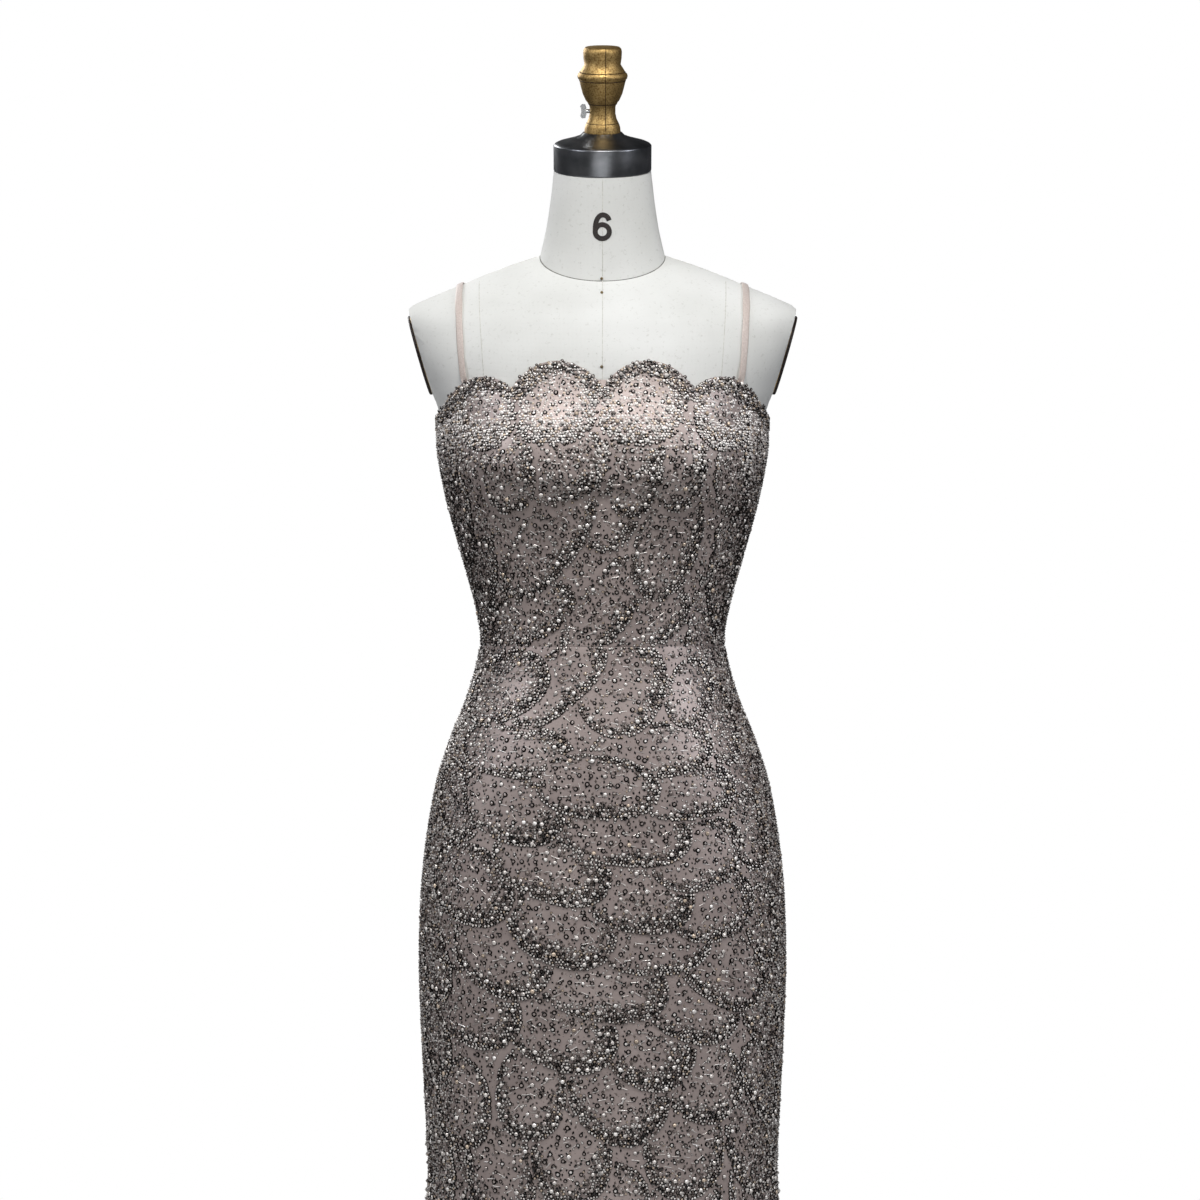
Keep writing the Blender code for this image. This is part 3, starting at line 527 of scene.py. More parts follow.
# Where the cloth stands out over the cups, and between them: x, z, rise and spreads.
BUST = ((0.086, 1.218, 0.024, 0.058, 0.052), (0.0, 1.222, 0.013, 0.052, 0.050))
NECKLINE_Z = 1.290
ROUNDNESS = 1.95              # of a scallop's arch, where 2 is a parabola
# Scallops from the centre to the side: start and end as shares of the half width, the
# heights of the valleys, the rise and the place of the peak.
FRONT_EDGE = ((0.00, 0.52, 1.2890, 1.2880, 0.0268, 0.45), (0.52, 1.00, 1.2880, 1.2660, 0.0205, 0.40))
BACK_EDGE = ((0.00, 0.56, 1.2580, 1.2600, 0.0240, 0.47), (0.56, 1.00, 1.2600, 1.2660, 0.0150, 0.45))


def section(z):
    """Half width, front, back and squareness at heights z, on a smooth curve."""
    places = SECTIONS[:, 0]
    i = np.clip(np.searchsorted(places, z) - 1, 0, len(places) - 2)
    last = len(places) - 1
    low, high = np.maximum(np.arange(last + 1) - 1, 0), np.minimum(np.arange(last + 1) + 1, last)
    slope = (SECTIONS[high] - SECTIONS[low]) / (places[high] - places[low])[:, None]
    span = places[i + 1] - places[i]
    t = (z - places[i]) / span
    t, span = t[..., None], span[..., None]
    rows = ((2 * t**3 - 3 * t**2 + 1) * SECTIONS[i] + (t**3 - 2 * t**2 + t) * slope[i] * span
            + (3 * t**2 - 2 * t**3) * SECTIONS[i + 1] + (t**3 - t**2) * slope[i + 1] * span)
    return np.moveaxis(rows[..., 1:], -1, 0)


def outline(parts, turn):
    """Across and along a section's outline at angles from the centre front."""
    half_width, front, back, power = parts
    across = np.sign(np.sin(turn)) * np.abs(np.sin(turn)) ** (2.0 / power)
    along = np.sign(np.cos(turn)) * np.abs(np.cos(turn)) ** (2.0 / power)
    return half_width * across, -np.where(along > 0.0, front, back) * along


def cloth_at(turn, z, out):
    """Points of the cloth at angles from the centre front and heights, out from its inside."""
    turn, z, out = np.broadcast_arrays(turn, z, out)
    parts = section(z)
    x0, y0 = outline(parts, turn - 0.002)
    x1, y1 = outline(parts, turn + 0.002)
    x, y = outline(parts, turn)
    length = np.hypot(x1 - x0, y1 - y0)
    fall = np.maximum(0.0, (FLUTE_TOP_Z - z) / (FLUTE_TOP_Z - HEM_Z))
    push = EASE + out + FLUTE_DEPTH * fall**1.4 * np.cos(FLUTES * turn)
    px, py = x + (y1 - y0) / length * push, y - (x1 - x0) / length * push
    for bx, bz, rise, spread_x, spread_z in BUST:
        py = py - np.where(y < 0.0, rise * np.exp(-((np.abs(x) - bx) / spread_x) ** 2
                                                  - ((z - bz) / spread_z) ** 2), 0.0)
    return np.stack([px, py, z], -1)


def edge_at(turn):
    """The height of the scalloped edge at angles from the centre front."""
    share = np.minimum(1.0, np.abs(np.sin(turn)) ** (2.0 / section(np.array(NECKLINE_Z))[3]))
    top = np.zeros_like(share)
    for ahead, lobes in ((True, FRONT_EDGE), (False, BACK_EDGE)):
        for start, end, start_z, end_z, rise, peak in lobes:
            t = np.clip((share - start) / (end - start), 0.0, 1.0)
            warped = t ** (math.log(0.5) / math.log(peak))
            lobe = (start_z + (end_z - start_z) * t
                    + rise * (1.0 - np.abs(2.0 * warped - 1.0) ** ROUNDNESS))
            here = (share >= start) & (share <= end) & ((np.cos(turn) > 0.0) == ahead)
            top = np.where(here, lobe, top)
    return top


# The way round the cloth from the centre front, for each height and angle, and the angle for
# each height and even share of the way.
LEVELS = np.linspace(HEM_Z, 1.320, 340)
TURNS = np.linspace(0.0, math.pi, 361)
SHARES_ROUND = 400
walk = walked(cloth_at(TURNS[None, :], LEVELS[:, None], CLOTH), axis=1)
ALL_ROUND = walk[:, -1]
TO_SIDE = walk[:, 180]
turn_table = np.array([np.interp(np.linspace(0.0, 1.0, SHARES_ROUND + 1) * row[-1], row, TURNS)
                       for row in walk])


def turn_at(way, z):
    """The angle reached by walking way metres round the cloth at height z."""
    level = np.clip((z - LEVELS[0]) / (LEVELS[1] - LEVELS[0]), 0.0, len(LEVELS) - 1.001)
    share = np.clip(np.abs(way) / np.interp(z, LEVELS, ALL_ROUND), 0.0, 1.0) * (SHARES_ROUND - 0.001)
    row, col = level.astype(int), share.astype(int)
    u, v = level - row, share - col
    angle = ((turn_table[row, col] * (1 - v) + turn_table[row, col + 1] * v) * (1 - u)
             + (turn_table[row + 1, col] * (1 - v) + turn_table[row + 1, col + 1] * v) * u)
    return np.sign(way) * angle


def turn_from(ahead, way, z):
    """The angle at a way from the front centre line, or from the back's if not ahead."""
    if ahead:
        return turn_at(way, z)
    hand = np.where(way < 0.0, -1.0, 1.0)
    return turn_at(hand * (np.interp(z, LEVELS, ALL_ROUND) - np.abs(way)), z)


def side_way(ahead, z):
    """How far the side seams lie from the front or back centre line at heights z."""
    return np.interp(z, LEVELS, TO_SIDE if ahead else ALL_ROUND - TO_SIDE)


# Creases in the satin, listed one by one: way round from the centre line and height at each
# end, how wide, and how deep (a ridge if above 0), all in mm.
FRONT_CREASES = ((-185, 1092, -95, 1070, 5, -0.9), (-170, 1108, -110, 1094, 6, 0.7),
                 (190, 1100, 105, 1076, 5.5, -0.9), (165, 1078, 80, 1062, 4.5, 0.6),
                 (-120, 1172, -45, 1158, 8, -1), (52, 1164, 128, 1176, 8, -1),
                 (-135, 1215, 110, 1212, 9, 2.4), (-130, 1194, 100, 1192, 7, -1.6),
                 (-30, 1176, 32, 1174, 6, 1.2), (-60, 1052, 55, 1054, 4, -0.6),
                 (-150, 1020, -60, 1004, 5, -0.8), (70, 1010, 165, 1024, 5.5, -0.8),
                 (-205, 790, -120, 752, 11, -0.9), (130, 744, 215, 792, 12, -0.9),
                 (-190, 520, -80, 480, 12, -1), (75, 474, 200, 530, 12, -1),
                 (-20, 360, 10, 120, 14, 1.2), (-190, 330, -250, 60, 16, -1.4),
                 (210, 340, 240, 70, 15, -1.3))
BACK_CREASES = ((-120, 1040, -15, 1028, 5, -0.9), (20, 1048, 110, 1060, 5, -0.8),
                (-140, 1076, -30, 1064, 6, 0.7), (30, 1080, 135, 1098, 6, -0.7),
                (-190, 680, -70, 640, 12, -1), (80, 646, 195, 690, 12, -1),
                (-150, 500, -40, 470, 11, -0.9), (60, 350, 85, 80, 15, 1.3),
                (-200, 330, -240, 50, 16, -1.4))
SEAM_ROLL = 0.9 * MM          # how far the cloth rolls in at a seam
SEAM_REACH = 3.2 * MM
CREASE_BOW = 0.06             # how far a crease bows aside, as a share of its length


def relief_at(ahead, way, z):
    """How far creases and seams lift the cloth, at ways from the front or back centre line."""
    lift = np.zeros(np.broadcast(way, z).shape)
    for crease in FRONT_CREASES if ahead else BACK_CREASES:
        x0, z0, x1, z1, width, depth = (MM * value for value in crease)
        span = math.hypot(x1 - x0, z1 - z0)
        ax, az = (x1 - x0) / span, (z1 - z0) / span
        along = (way - x0) * ax + (z - z0) * az
        bow = CREASE_BOW * span * np.sin(math.pi * along / span)
        off = (way - x0) * az - (z - z0) * ax - bow
        fade = np.clip(along / span, 0.0, 1.0)
        fade = np.where((along > 0) & (along < span), np.sin(math.pi * fade) ** 0.7, 0.0)
        lift = lift + depth * fade * np.exp(-(off / width) ** 2)
    lift = lift - 0.6 * SEAM_ROLL * np.exp(-((z - WAIST_Z) / SEAM_REACH) ** 2)
    lift = lift - SEAM_ROLL * np.exp(-((side_way(ahead, z) - np.abs(way)) / SEAM_REACH) ** 2)
    if not ahead:
        lift = lift - SEAM_ROLL * np.exp(-(way / SEAM_REACH) ** 2) * (z > ZIP_LOW_Z)
    return lift


def place_on_gown(ahead, way, z, out):
    """Points on the gown by the way from the front or back centre line, height and lift."""
    way, z, out = (np.asarray(v, float) for v in np.broadcast_arrays(way, z, out))
    return cloth_at(turn_from(ahead, way, z), z, out + relief_at(ahead, way, z))


# Duchesse satin: a close warp face with a soft, broad shine, lightly streaked by the yarn, and
# dotted by the darker knots of the net over it.
SATIN_RIB = 1.1 * MM          # yarns are finer; drawn this coarse to show
NET_KNOT = 3.4 * MM
satin, tree, shader = finish("duchesse_satin")
streak = texture(tree, "Noise", (0.6 / SATIN_RIB, 0.6 / SATIN_RIB, 30.0), Detail=2.0)
patch = texture(tree, "Noise", 22.0, Detail=3.0)
specks = texture(tree, "Voronoi", 1.0 / NET_KNOT)
net = multiplied(tree, 0.6, tones(tree, patch, (0.3, "#A69894"), (0.7, "#BAACA7")),
                 tones(tree, specks, (0.12, "#857A75"), (0.22, "#FFFFFF")))
add(tree, shader, {"Base Color": net, "Roughness": between(tree, streak, 0.36, 0.50),
                   "Metallic": 0.30, "Sheen Weight": 0.20, "Sheen Roughness": 0.35,
                   "Normal": relief(tree, streak, 0.12, 0.2 * MM)})


def near_seam(count):
    """Shares across a panel from seam to seam, close together beside the seams."""
    edge = [0.0, 0.004, 0.009, 0.016]
    return np.array(edge + steps(0.03, 0.97, count) + [1.0 - e for e in reversed(edge)])


def panel(name, start, end, columns, rows):
    """One panel of cloth from angle to angle, as a thin closed shell in place of its solid."""
    turns = start + (end - start) * near_seam(columns)
    ahead = abs(0.5 * (start + end)) < math.pi / 2
    low_z, high_z = HEM_Z, np.full(turns.shape, WAIST_Z - HALF_GAP)
    if name.startswith("bodice"):
        low_z, high_z = WAIST_Z + HALF_GAP, edge_at(turns)
    z = low_z + (high_z[None, :] - low_z) * near_seam(rows)[:, None]
    turn = np.broadcast_to(turns[None, :], z.shape).copy()
    for column in (0, -1):
        # The panel's two upright edges end half a gap short of the seam.
        at_back = abs(turns[column]) > 0.75 * math.pi
        seam = np.interp(z[:, column], LEVELS, ALL_ROUND if at_back else TO_SIDE)
        short = -HALF_GAP if at_back or ahead else HALF_GAP
        turn[:, column] = np.sign(turns[column]) * turn_at(seam + short, z[:, column])
    level = (z - LEVELS[0]) / (LEVELS[1] - LEVELS[0])
    row = np.clip(level.astype(int), 0, len(LEVELS) - 2)
    way = np.array([[np.interp(abs(t), TURNS, walk[r]) for t, r in zip(ts, rs)]
                    for ts, rs in zip(turn, row)])
    if ahead:
        way = way * np.sign(turn)
    else:
        way = (np.interp(z, LEVELS, ALL_ROUND) - way) * np.sign(start + end)
    lift = relief_at(ahead, way, z)
    index = np.arange(z.size).reshape(z.shape)
    rim = np.concatenate([index[0, :-1], index[:-1, -1], index[-1, :0:-1], index[:0:-1, 0]])
    faces = skin(0, *z.shape, around=False)
    faces += [(a, d, c, b) for a, b, c, d in skin(z.size, *z.shape, around=False)]
    faces += [(b, a, a + z.size, b + z.size)
              for a, b in zip(rim.tolist(), np.roll(rim, -1).tolist())]
    verts = np.concatenate([cloth_at(turn, z, out + lift).reshape(-1, 3)
                            for out in (CLOTH, SATIN_BACK)])
    obj = piece(name + "_satin", verts, faces, satin, "beaded_satin", 60.0)
    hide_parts(name)
    return obj


# Each panel as it is cut: name, from and to in quarter turns, columns and rows of the shell,
# flat size in metres, area in square metres and how the cloth is held.
QUARTER = 0.5 * math.pi
PANELS = (("bodice_front", -1, 1, 104, 26, (0.46, 0.29), 0.105, "stretched"),
          ("bodice_back_left", 1, 2, 44, 20, (0.23, 0.25), 0.046, "stretched"),
          ("bodice_back_right", -2, -1, 44, 20, (0.23, 0.25), 0.046, "stretched"),
          ("skirt_front", -1, 1, 72, 100, (0.88, 1.04), 0.53, "hung"),
          ("skirt_back_left", 1, 2, 36, 100, (0.46, 1.05), 0.28, "hung"),
          ("skirt_back_right", -2, -1, 36, 100, (0.46, 1.05), 0.28, "hung"))
sheets = {name: panel(name, start * QUARTER, end * QUARTER, columns, rows)
          for name, start, end, columns, rows, *_ in PANELS}


# ---------------------------------------------------------------- gown: beadwork
# Net worked all over with glass beads in overlapping leaf-shaped lobes. Each lobe has a packed,
# raised band, broadest on its lower right and ended by a row of larger beads, and an open
# middle with ring beads, pearls, bugles and single seeds. Each is sewn to the net by hand.
rng = np.random.default_rng(61)
SEED_PITCH = 3.4 * MM         # spacing of packed seeds of the sizes given below
ROW_PITCH = 3.5 * MM          # of the larger beads in a row
SIDE_FILL = (0.068, 0.104)    # packed seeds this near a side seam, thinning out by this far
# Dark seeds at the sides round the waist stand for the shade there: painted shade.
SHADED_SIDE_Z = (0.940, 1.100)       # darker seeds take over at the sides between these heights
OPEN_Z = (1.175, 1.235)       # open middles fill up between these heights
# Pale crystal seeds on the upper bust stand for the light falling there: painted light.
LIT_CRYSTAL_Z = (1.185, 1.245)    # smoke seeds give way to crystal ones between these heights
ROW_INSET = 2.0 * MM          # how far a row lies in from its lobe's edge
ZIP_CLEAR = 4.4 * MM          # how far the beads keep from the zip's middle line
WAIST_CLEAR = 0.6 * MM
ROW_CLEAR = 1.2 * MM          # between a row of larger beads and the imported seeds
BAND_RISE = 1.3 * MM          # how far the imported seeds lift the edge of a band
BAND_FADE = 8.0 * MM          # over this width a band thins out into the open middle
EDGE_BAND = 12.5 * MM         # packed band under the scalloped neckline
SQUARENESS = 2.2              # of a lobe, where 2 is an ellipse
PEARL_PITCH, BUGLE_PITCH = 10.5, 13.0   # mm apart, as are the next two
EDGE_RING_PITCH = 5.6         # of the ring beads along the neckline
DASH_PITCH = {"bodice": 4.4, "skirt": 5.4}   # of the single dark seeds

# Lobes of the skirt in mm and degrees, the ones on top first: way round from the centre front,
# height, half length, half width, droop of the right end, band, and where the band is
# broadest (0 to the right, 90 down). The bodice's follow.
SKIRT_LOBES = (
    (-5, 905, 62, 32, 5, 16, 40), (-105, 1000, 56, 34, -20, 20, 10), (-45, 1005, 60, 28, -40, 16, 40),
    (20, 1000, 50, 42, -60, 18, 0), (90, 995, 36, 28, -65, 16, 30), (-90, 940, 64, 28, 5, 20, 0),
    (50, 940, 64, 28, -5, 16, 0), (125, 965, 42, 24, 80, 16, 0), (85, 900, 54, 28, -5, 18, 10),
    (-90, 890, 58, 40, 20, 22, 20), (25, 860, 64, 32, 5, 16, 40), (-155, 890, 44, 28, 60, 18, 20),
    (-50, 830, 62, 36, 20, 24, 20), (95, 840, 52, 36, -10, 16, 20), (-135, 810, 52, 40, 20, 20, 20),
    (155, 860, 40, 26, 75, 16, 10), (35, 800, 56, 36, 10, 22, 20), (-40, 770, 56, 38, 20, 22, 90),
    (110, 790, 48, 36, -10, 18, 30), (-100, 745, 56, 42, 30, 20, 40), (50, 755, 58, 32, 0, 14, 20),
    (170, 770, 40, 26, 70, 16, 20), (0, 715, 66, 36, 10, 20, 20), (-180, 730, 40, 24, 70, 16, 20),
    (-130, 690, 54, 38, 20, 20, 20), (120, 730, 56, 36, 35, 16, 120), (-40, 670, 58, 38, 20, 24, 10),
    (90, 695, 52, 38, 20, 16, 80), (40, 660, 56, 42, 40, 24, 30), (-180, 655, 40, 24, 75, 16, 20),
    (165, 685, 46, 26, 55, 16, 130), (-70, 610, 48, 36, 95, 16, 90), (15, 610, 54, 46, 50, 20, 60),
    (95, 625, 52, 42, 40, 16, 70), (-145, 595, 48, 36, 85, 16, 60), (170, 615, 46, 26, 60, 16, 130),
    (-30, 550, 50, 40, 90, 18, 70), (80, 555, 50, 42, 90, 18, 80), (-100, 530, 48, 38, 90, 18, 60),
    (-180, 525, 46, 28, 85, 16, 60), (155, 550, 50, 30, 70, 16, 110))
BODICE_LOBES = (
    (-120, 1265, 38, 38, 0, 26, 90), (-50, 1275, 48, 44, 0, 28, 90), (35, 1275, 48, 44, 0, 28, 90),
    (125, 1265, 38, 38, 0, 26, 90), (-95, 1210, 44, 32, 80, 16, 0), (-40, 1215, 50, 40, -20, 16, 20),
    (30, 1215, 54, 30, 95, 20, 10), (75, 1215, 48, 30, 100, 16, 20), (140, 1210, 48, 30, 95, 20, 0),
    (-160, 1165, 46, 20, 80, 16, 0), (-55, 1140, 68, 32, -50, 18, 40), (10, 1165, 40, 26, -60, 16, 20),
    (65, 1140, 60, 34, -70, 18, 30), (140, 1125, 66, 30, -80, 22, 30), (-75, 1070, 54, 28, -25, 18, 40),
    (5, 1080, 64, 28, -50, 18, 40), (50, 1065, 46, 26, -35, 16, 40), (-135, 1100, 50, 24, -75, 16, 20),
    (110, 1065, 48, 24, -80, 18, 20))
# Below the table the rows go on in the same way, in upright lobes: first height, last height,
# row pitch, spacing, half length, half width, droop and band.
HEM_ROWS = (0.500, -0.040, 0.0540, 0.0830, 0.0500, 0.0420, 90.0, 0.0180)


def lobes_from(table, mirrored, rows=None):
    """Lobes in metres and radians. The back's are the front's, seen in a mirror."""
    made = np.array(table, float) * np.array([MM, MM, MM, MM, math.pi / 180, MM, math.pi / 180])
    if rows:
        first, last, pitch, spacing, half_length, half_width, droop, band = rows
        more, row, z = [], 0, first
        while z > last:
            for j in range(-9, 10):
                tip = math.radians(droop + rng.normal(0.0, 8.0))
                more.append((((j + 0.5 * (row % 2)) * spacing + rng.normal(0.0, 5.0) * MM),
                             z + rng.normal(0.0, 5.0) * MM, half_length * rng.uniform(0.92, 1.1),
                             half_width * rng.uniform(0.92, 1.1), tip,
                             band * rng.uniform(0.8, 1.2), math.radians(rng.uniform(30, 90))))
            z -= pitch * rng.uniform(0.95, 1.05)
            row += 1
        made = np.concatenate([made, np.array(more)])
    if mirrored:
        made[:, 0] *= -1.0
        made[:, 4] = math.pi - made[:, 4]
        made[:, 6] = math.pi - made[:, 6]
        made[:, 1] += rng.normal(0.0, 4.0, len(made)) * MM
    return made


def read_lobes(lobes, way, z):
    """For each point: which lobe is on top there, how far in from its edge, the width of its
    band there, and the distance to the nearest lobe edge above it."""
    owner = np.full(way.shape, -1)
    inset = np.full(way.shape, 1.0)
    band = np.zeros(way.shape)
    clear = np.full(way.shape, 1.0)
    for number, (way0, z0, half_length, half_width, droop, wide, heavy) in enumerate(lobes):
        reach = 1.25 * max(half_length, half_width)
        near = np.nonzero((owner < 0) & (np.abs(way - way0) < reach)
                          & (np.abs(z - z0) < reach))[0]
        if not len(near):
            continue
        x, y = way[near] - way0, z[near] - z0
        along = x * math.cos(droop) - y * math.sin(droop)
        across = x * math.sin(droop) + y * math.cos(droop)
        out = (np.abs(along / half_length) ** SQUARENESS
               + np.abs(across / half_width) ** SQUARENESS) ** (1.0 / SQUARENESS)
        radius = np.hypot(x, y)
        depth = (1.0 - out) * radius / np.maximum(out, 1e-6)
        facing = (x * math.cos(heavy) - y * math.sin(heavy)) / np.maximum(radius, 1e-6)
        inside = out < 1.0
        owner[near[inside]] = number
        inset[near[inside]] = depth[inside]
        band[near[inside]] = (wide * (0.42 + 0.68 * (0.5 + 0.5 * facing)))[inside]
        clear[near[~inside]] = np.minimum(clear[near[~inside]], -depth[~inside])
    return owner, inset, band, clear


def on_cloth(part, ahead, way, z, margin):
    """Which points lie on the panel, at least margin from its edges and less from its sides."""
    good = np.abs(way) < side_way(ahead, z) - 0.3 * abs(margin)
    if not ahead:
        good &= np.abs(way) > np.where(z > ZIP_LOW_Z - 4.0 * MM, ZIP_CLEAR, abs(margin))
    if part == "skirt":
        return good & (z > HEM_Z + margin) & (z < WAIST_Z - WAIST_CLEAR)
    top = edge_at(turn_from(ahead, way, z)) - 0.4 * margin
    return good & (z > WAIST_Z + WAIST_CLEAR) & (z < top)


def edge_distance(ahead, way, z):
    """How far each point of the bodice lies under the scalloped edge, at its nearest."""
    best = np.full(way.shape, 1.0)
    level = np.full(way.shape, NECKLINE_Z - 0.010)
    for offset in np.arange(-12.0, 12.1, 2.0) * MM:
        rise = edge_at(turn_from(ahead, way + offset, level)) - z
        best = np.minimum(best, np.where(rise > 0.0, np.hypot(rise, offset), 0.0))
    return best


def scatter(width, low, high, pitch, jitter):
    """Points in staggered rows with a little disorder: way and height."""
    r, c = np.meshgrid(np.arange(int((high - low) / (pitch * 0.866)) + 1),
                       np.arange(int(2.0 * width / pitch) + 1), indexing="ij")
    way = -width + (c + 0.5 * (r % 2)) * pitch + rng.uniform(-jitter, jitter, r.shape) * pitch
    z = low + r * pitch * 0.866 + rng.uniform(-jitter, jitter, r.shape) * pitch
    return way.ravel(), z.ravel()


# Colours of the glass: silver-lined, smoke, black, crystal and champagne, and the satin that
# shows inside a ring bead. Each kind of bead is drawn from them in its own shares.
GLASS = np.array([linear(shade)[:3] for shade in
                  ("#E6DFD9", "#7E726B", "#1E1714", "#FBF6F1", "#D6C2AC", "#B3A7A2")])
# The side seeds' dark shares are painted shade, and the crystal seeds' pale shares painted light.
SHARES = {"band": (0.33, 0.26, 0.18, 0.17, 0.06, 0.0), "row": (0.49, 0.17, 0.05, 0.23, 0.06, 0.0),
          "crystal": (0.44, 0.05, 0.01, 0.38, 0.12, 0.0),
          "edge": (0.30, 0.20, 0.12, 0.16, 0.22, 0.0), "side": (0.16, 0.30, 0.42, 0.12, 0.0, 0.0),
          "dash": (0.02, 0.20, 0.74, 0.02, 0.02, 0.0), "pearl": (0.50, 0.12, 0.0, 0.22, 0.06, 0.1),
          "ring": (0.0, 0.0, 0.0, 0.25, 0.0, 0.75), "bugle": (0.45, 0.0, 0.0, 0.55, 0.0, 0.0)}


def dome(sides, rings):
    """A bead's form: rings of (radius, height, unshaded) from the cloth up, then a top point. The
    unshaded value is how much of the bead's colour shows there, from 0 at its dark rim, which is
    painted shade, to 1."""
    verts = [(radius * math.cos(2.0 * math.pi * k / sides),
              radius * math.sin(2.0 * math.pi * k / sides), height, unshaded)
             for radius, height, unshaded in rings[:-1] for k in range(sides)]
    verts.append((0.0, 0.0) + rings[-1][1:])
    faces = []
    for level in range(len(rings) - 2):
        for k in range(sides):
            a, b = level * sides + k, level * sides + (k + 1) % sides
            faces += [(a, b, b + sides), (a, b + sides, a + sides)]
    last = (len(rings) - 2) * sides
    faces += [(last + k, last + (k + 1) % sides, len(verts) - 1) for k in range(sides)]
    return np.array(verts), np.array(faces)


# The rim's unshaded value sets how dark its painted shade is: crystal seeds, set where the bust is lit,
# and edge seeds get a paler painted rim.
FORMS = {"band": dome(6, ((1.0, -0.55, 0.0), (0.0, 0.75, 1.0))),
         "crystal": dome(6, ((1.0, -0.55, 0.18), (0.0, 0.75, 1.2))),
         "edge": dome(6, ((1.0, -0.55, 0.26), (0.0, 0.75, 1.2))),
         "row": dome(6, ((1.0, -0.55, 0.0), (0.0, 0.85, 1.1))),
         "dash": dome(4, ((1.0, 0.0, 0.3), (0.0, 0.5, 1.0))),
         "pearl": dome(6, ((1.0, 0.0, 0.15), (0.78, 0.62, 0.75), (0.0, 1.0, 1.0))),
         "ring": dome(7, ((1.0, 0.0, 0.0), (0.74, 0.42, 0.20), (0.0, 0.12, 1.0))),
         "bugle": (np.array([(-3.6, -0.36, 0.0, 0.7), (3.6, -0.36, 0.0, 0.7), (3.6, 0.36, 0.0, 0.7),
                             (-3.6, 0.36, 0.0, 0.7), (-3.6, 0.0, 0.5, 1.0), (3.6, 0.0, 0.5, 1.0)]),
                   np.array([(0, 1, 5), (0, 5, 4), (2, 3, 4), (2, 4, 5)]))}
FORMS["side"] = FORMS["band"]
FORMS["dash"][0][:, 0] *= 0.62
SIZES = {"band": 2.12 * MM, "crystal": 2.12 * MM, "edge": 1.90 * MM, "side": 2.10 * MM,
         "row": 1.95 * MM, "dash": 1.75 * MM, "pearl": 2.30 * MM, "ring": 2.50 * MM,
         "bugle": 1.0 * MM}


def sew(ahead, way, z, kind, lift=0.0, scale=1.0):
    """Vertices, faces and colours of one kind of bead, sewn at the points, a lift off the net."""
    count = len(way)
    step = 0.4 * MM
    toward = np.where(way > 0, -1.0, 1.0)
    spot = place_on_gown(ahead, way, z, CLOTH + lift)
    beside = (place_on_gown(ahead, way + step * toward, z, CLOTH + lift) - spot) * toward[:, None]
    above = place_on_gown(ahead, way, z + step, CLOTH + lift) - spot
    beside *= 1.0 if ahead else -1.0
    beside /= np.linalg.norm(beside, axis=1)[:, None]
    normal = np.cross(beside, above)
    normal /= np.linalg.norm(normal, axis=1)[:, None]
    above = np.cross(normal, beside)
    straight = kind in ("bugle", "dash")
    spin = rng.normal(0.0, 0.45, count) if straight else rng.uniform(0.0, 6.28, count)
    spin = spin[:, None]
    tilt = rng.normal(0.0, 0.16, (count, 2))
    lean = normal + beside * tilt[:, :1] + above * tilt[:, 1:]
    u = beside * np.cos(spin) + above * np.sin(spin)
    v = above * np.cos(spin) - beside * np.sin(spin)
    size = (scale * SIZES[kind] * rng.uniform(0.82, 1.16, count))[:, None, None]
    local, faces = FORMS[kind]
    verts = spot[:, None, :] + size * sum(local[None, :, k:k + 1] * way_out[:, None, :]
                                          for k, way_out in enumerate((u, v, lean)))
    shade = GLASS[rng.choice(len(GLASS), count, p=SHARES[kind])] * rng.uniform(0.75, 1.2, (count, 1))
    tint = np.concatenate([np.broadcast_to(shade[:, None, :], verts.shape),
                           np.broadcast_to(local[None, :, 3:4], verts.shape[:2] + (1,))], 2)
    faces = faces[None, :, :] + (np.arange(count) * len(local))[:, None, None]
    return verts.reshape(-1, 3), faces.reshape(-1, 3), tint.reshape(-1, 4)


# Lined and lustred glass: each bead has its own colour in the middle and a near-black rim, a
# painted shade for where the glass turns away and for the thread and shadow between beads, and
# a bright hard skin.
LUSTRE = 2.0 * MM
bead_glass, tree, shader = finish("lined_glass_beads")
tint = add(tree, "ShaderNodeAttribute", {"attribute_name": "tint"})
unshaded = add(tree, "ShaderNodeMapRange", {"Value": tint.outputs["Alpha"], "From Min": 0.36,
                                        "From Max": 0.62, "interpolation_type": "SMOOTHSTEP"})
glass_under_rim_shade = add(tree, "ShaderNodeMixRGB", {"Fac": unshaded.outputs["Result"],
                                        "Color1": linear("#0B0706"),
                                        "Color2": tint.outputs["Color"]})
# The gloss is taken away at the painted dark rim as well.
polish = between(tree, unshaded.outputs["Result"], 0.02, 0.90)
add(tree, shader, {"Base Color": glass_under_rim_shade.outputs["Color"], "Metallic": 0.2, "IOR": 1.52,
                   "Roughness": between(tree, texture(tree, "Noise", 1.0 / LUSTRE), 0.12, 0.34),
                   "Specular IOR Level": polish, "Coat Weight": polish, "Coat Roughness": 0.12})


def bead_piece(name, parts):
    """Joins sewn beads into one piece."""
    base = np.cumsum([0] + [len(verts) for verts, _, _ in parts[:-1]])
    faces = np.concatenate([own + first for (_, own, _), first in zip(parts, base)])
    verts, tints = (np.concatenate([part[k] for part in parts]) for k in (0, 2))
    obj = piece(name, verts, faces.tolist(), bead_glass, "beaded_satin", sharp=180.0)
    layer = obj.data.color_attributes.new("tint", "FLOAT_COLOR", "POINT")
    layer.data.foreach_set("color", tints.astype(np.float32).ravel())
    return obj


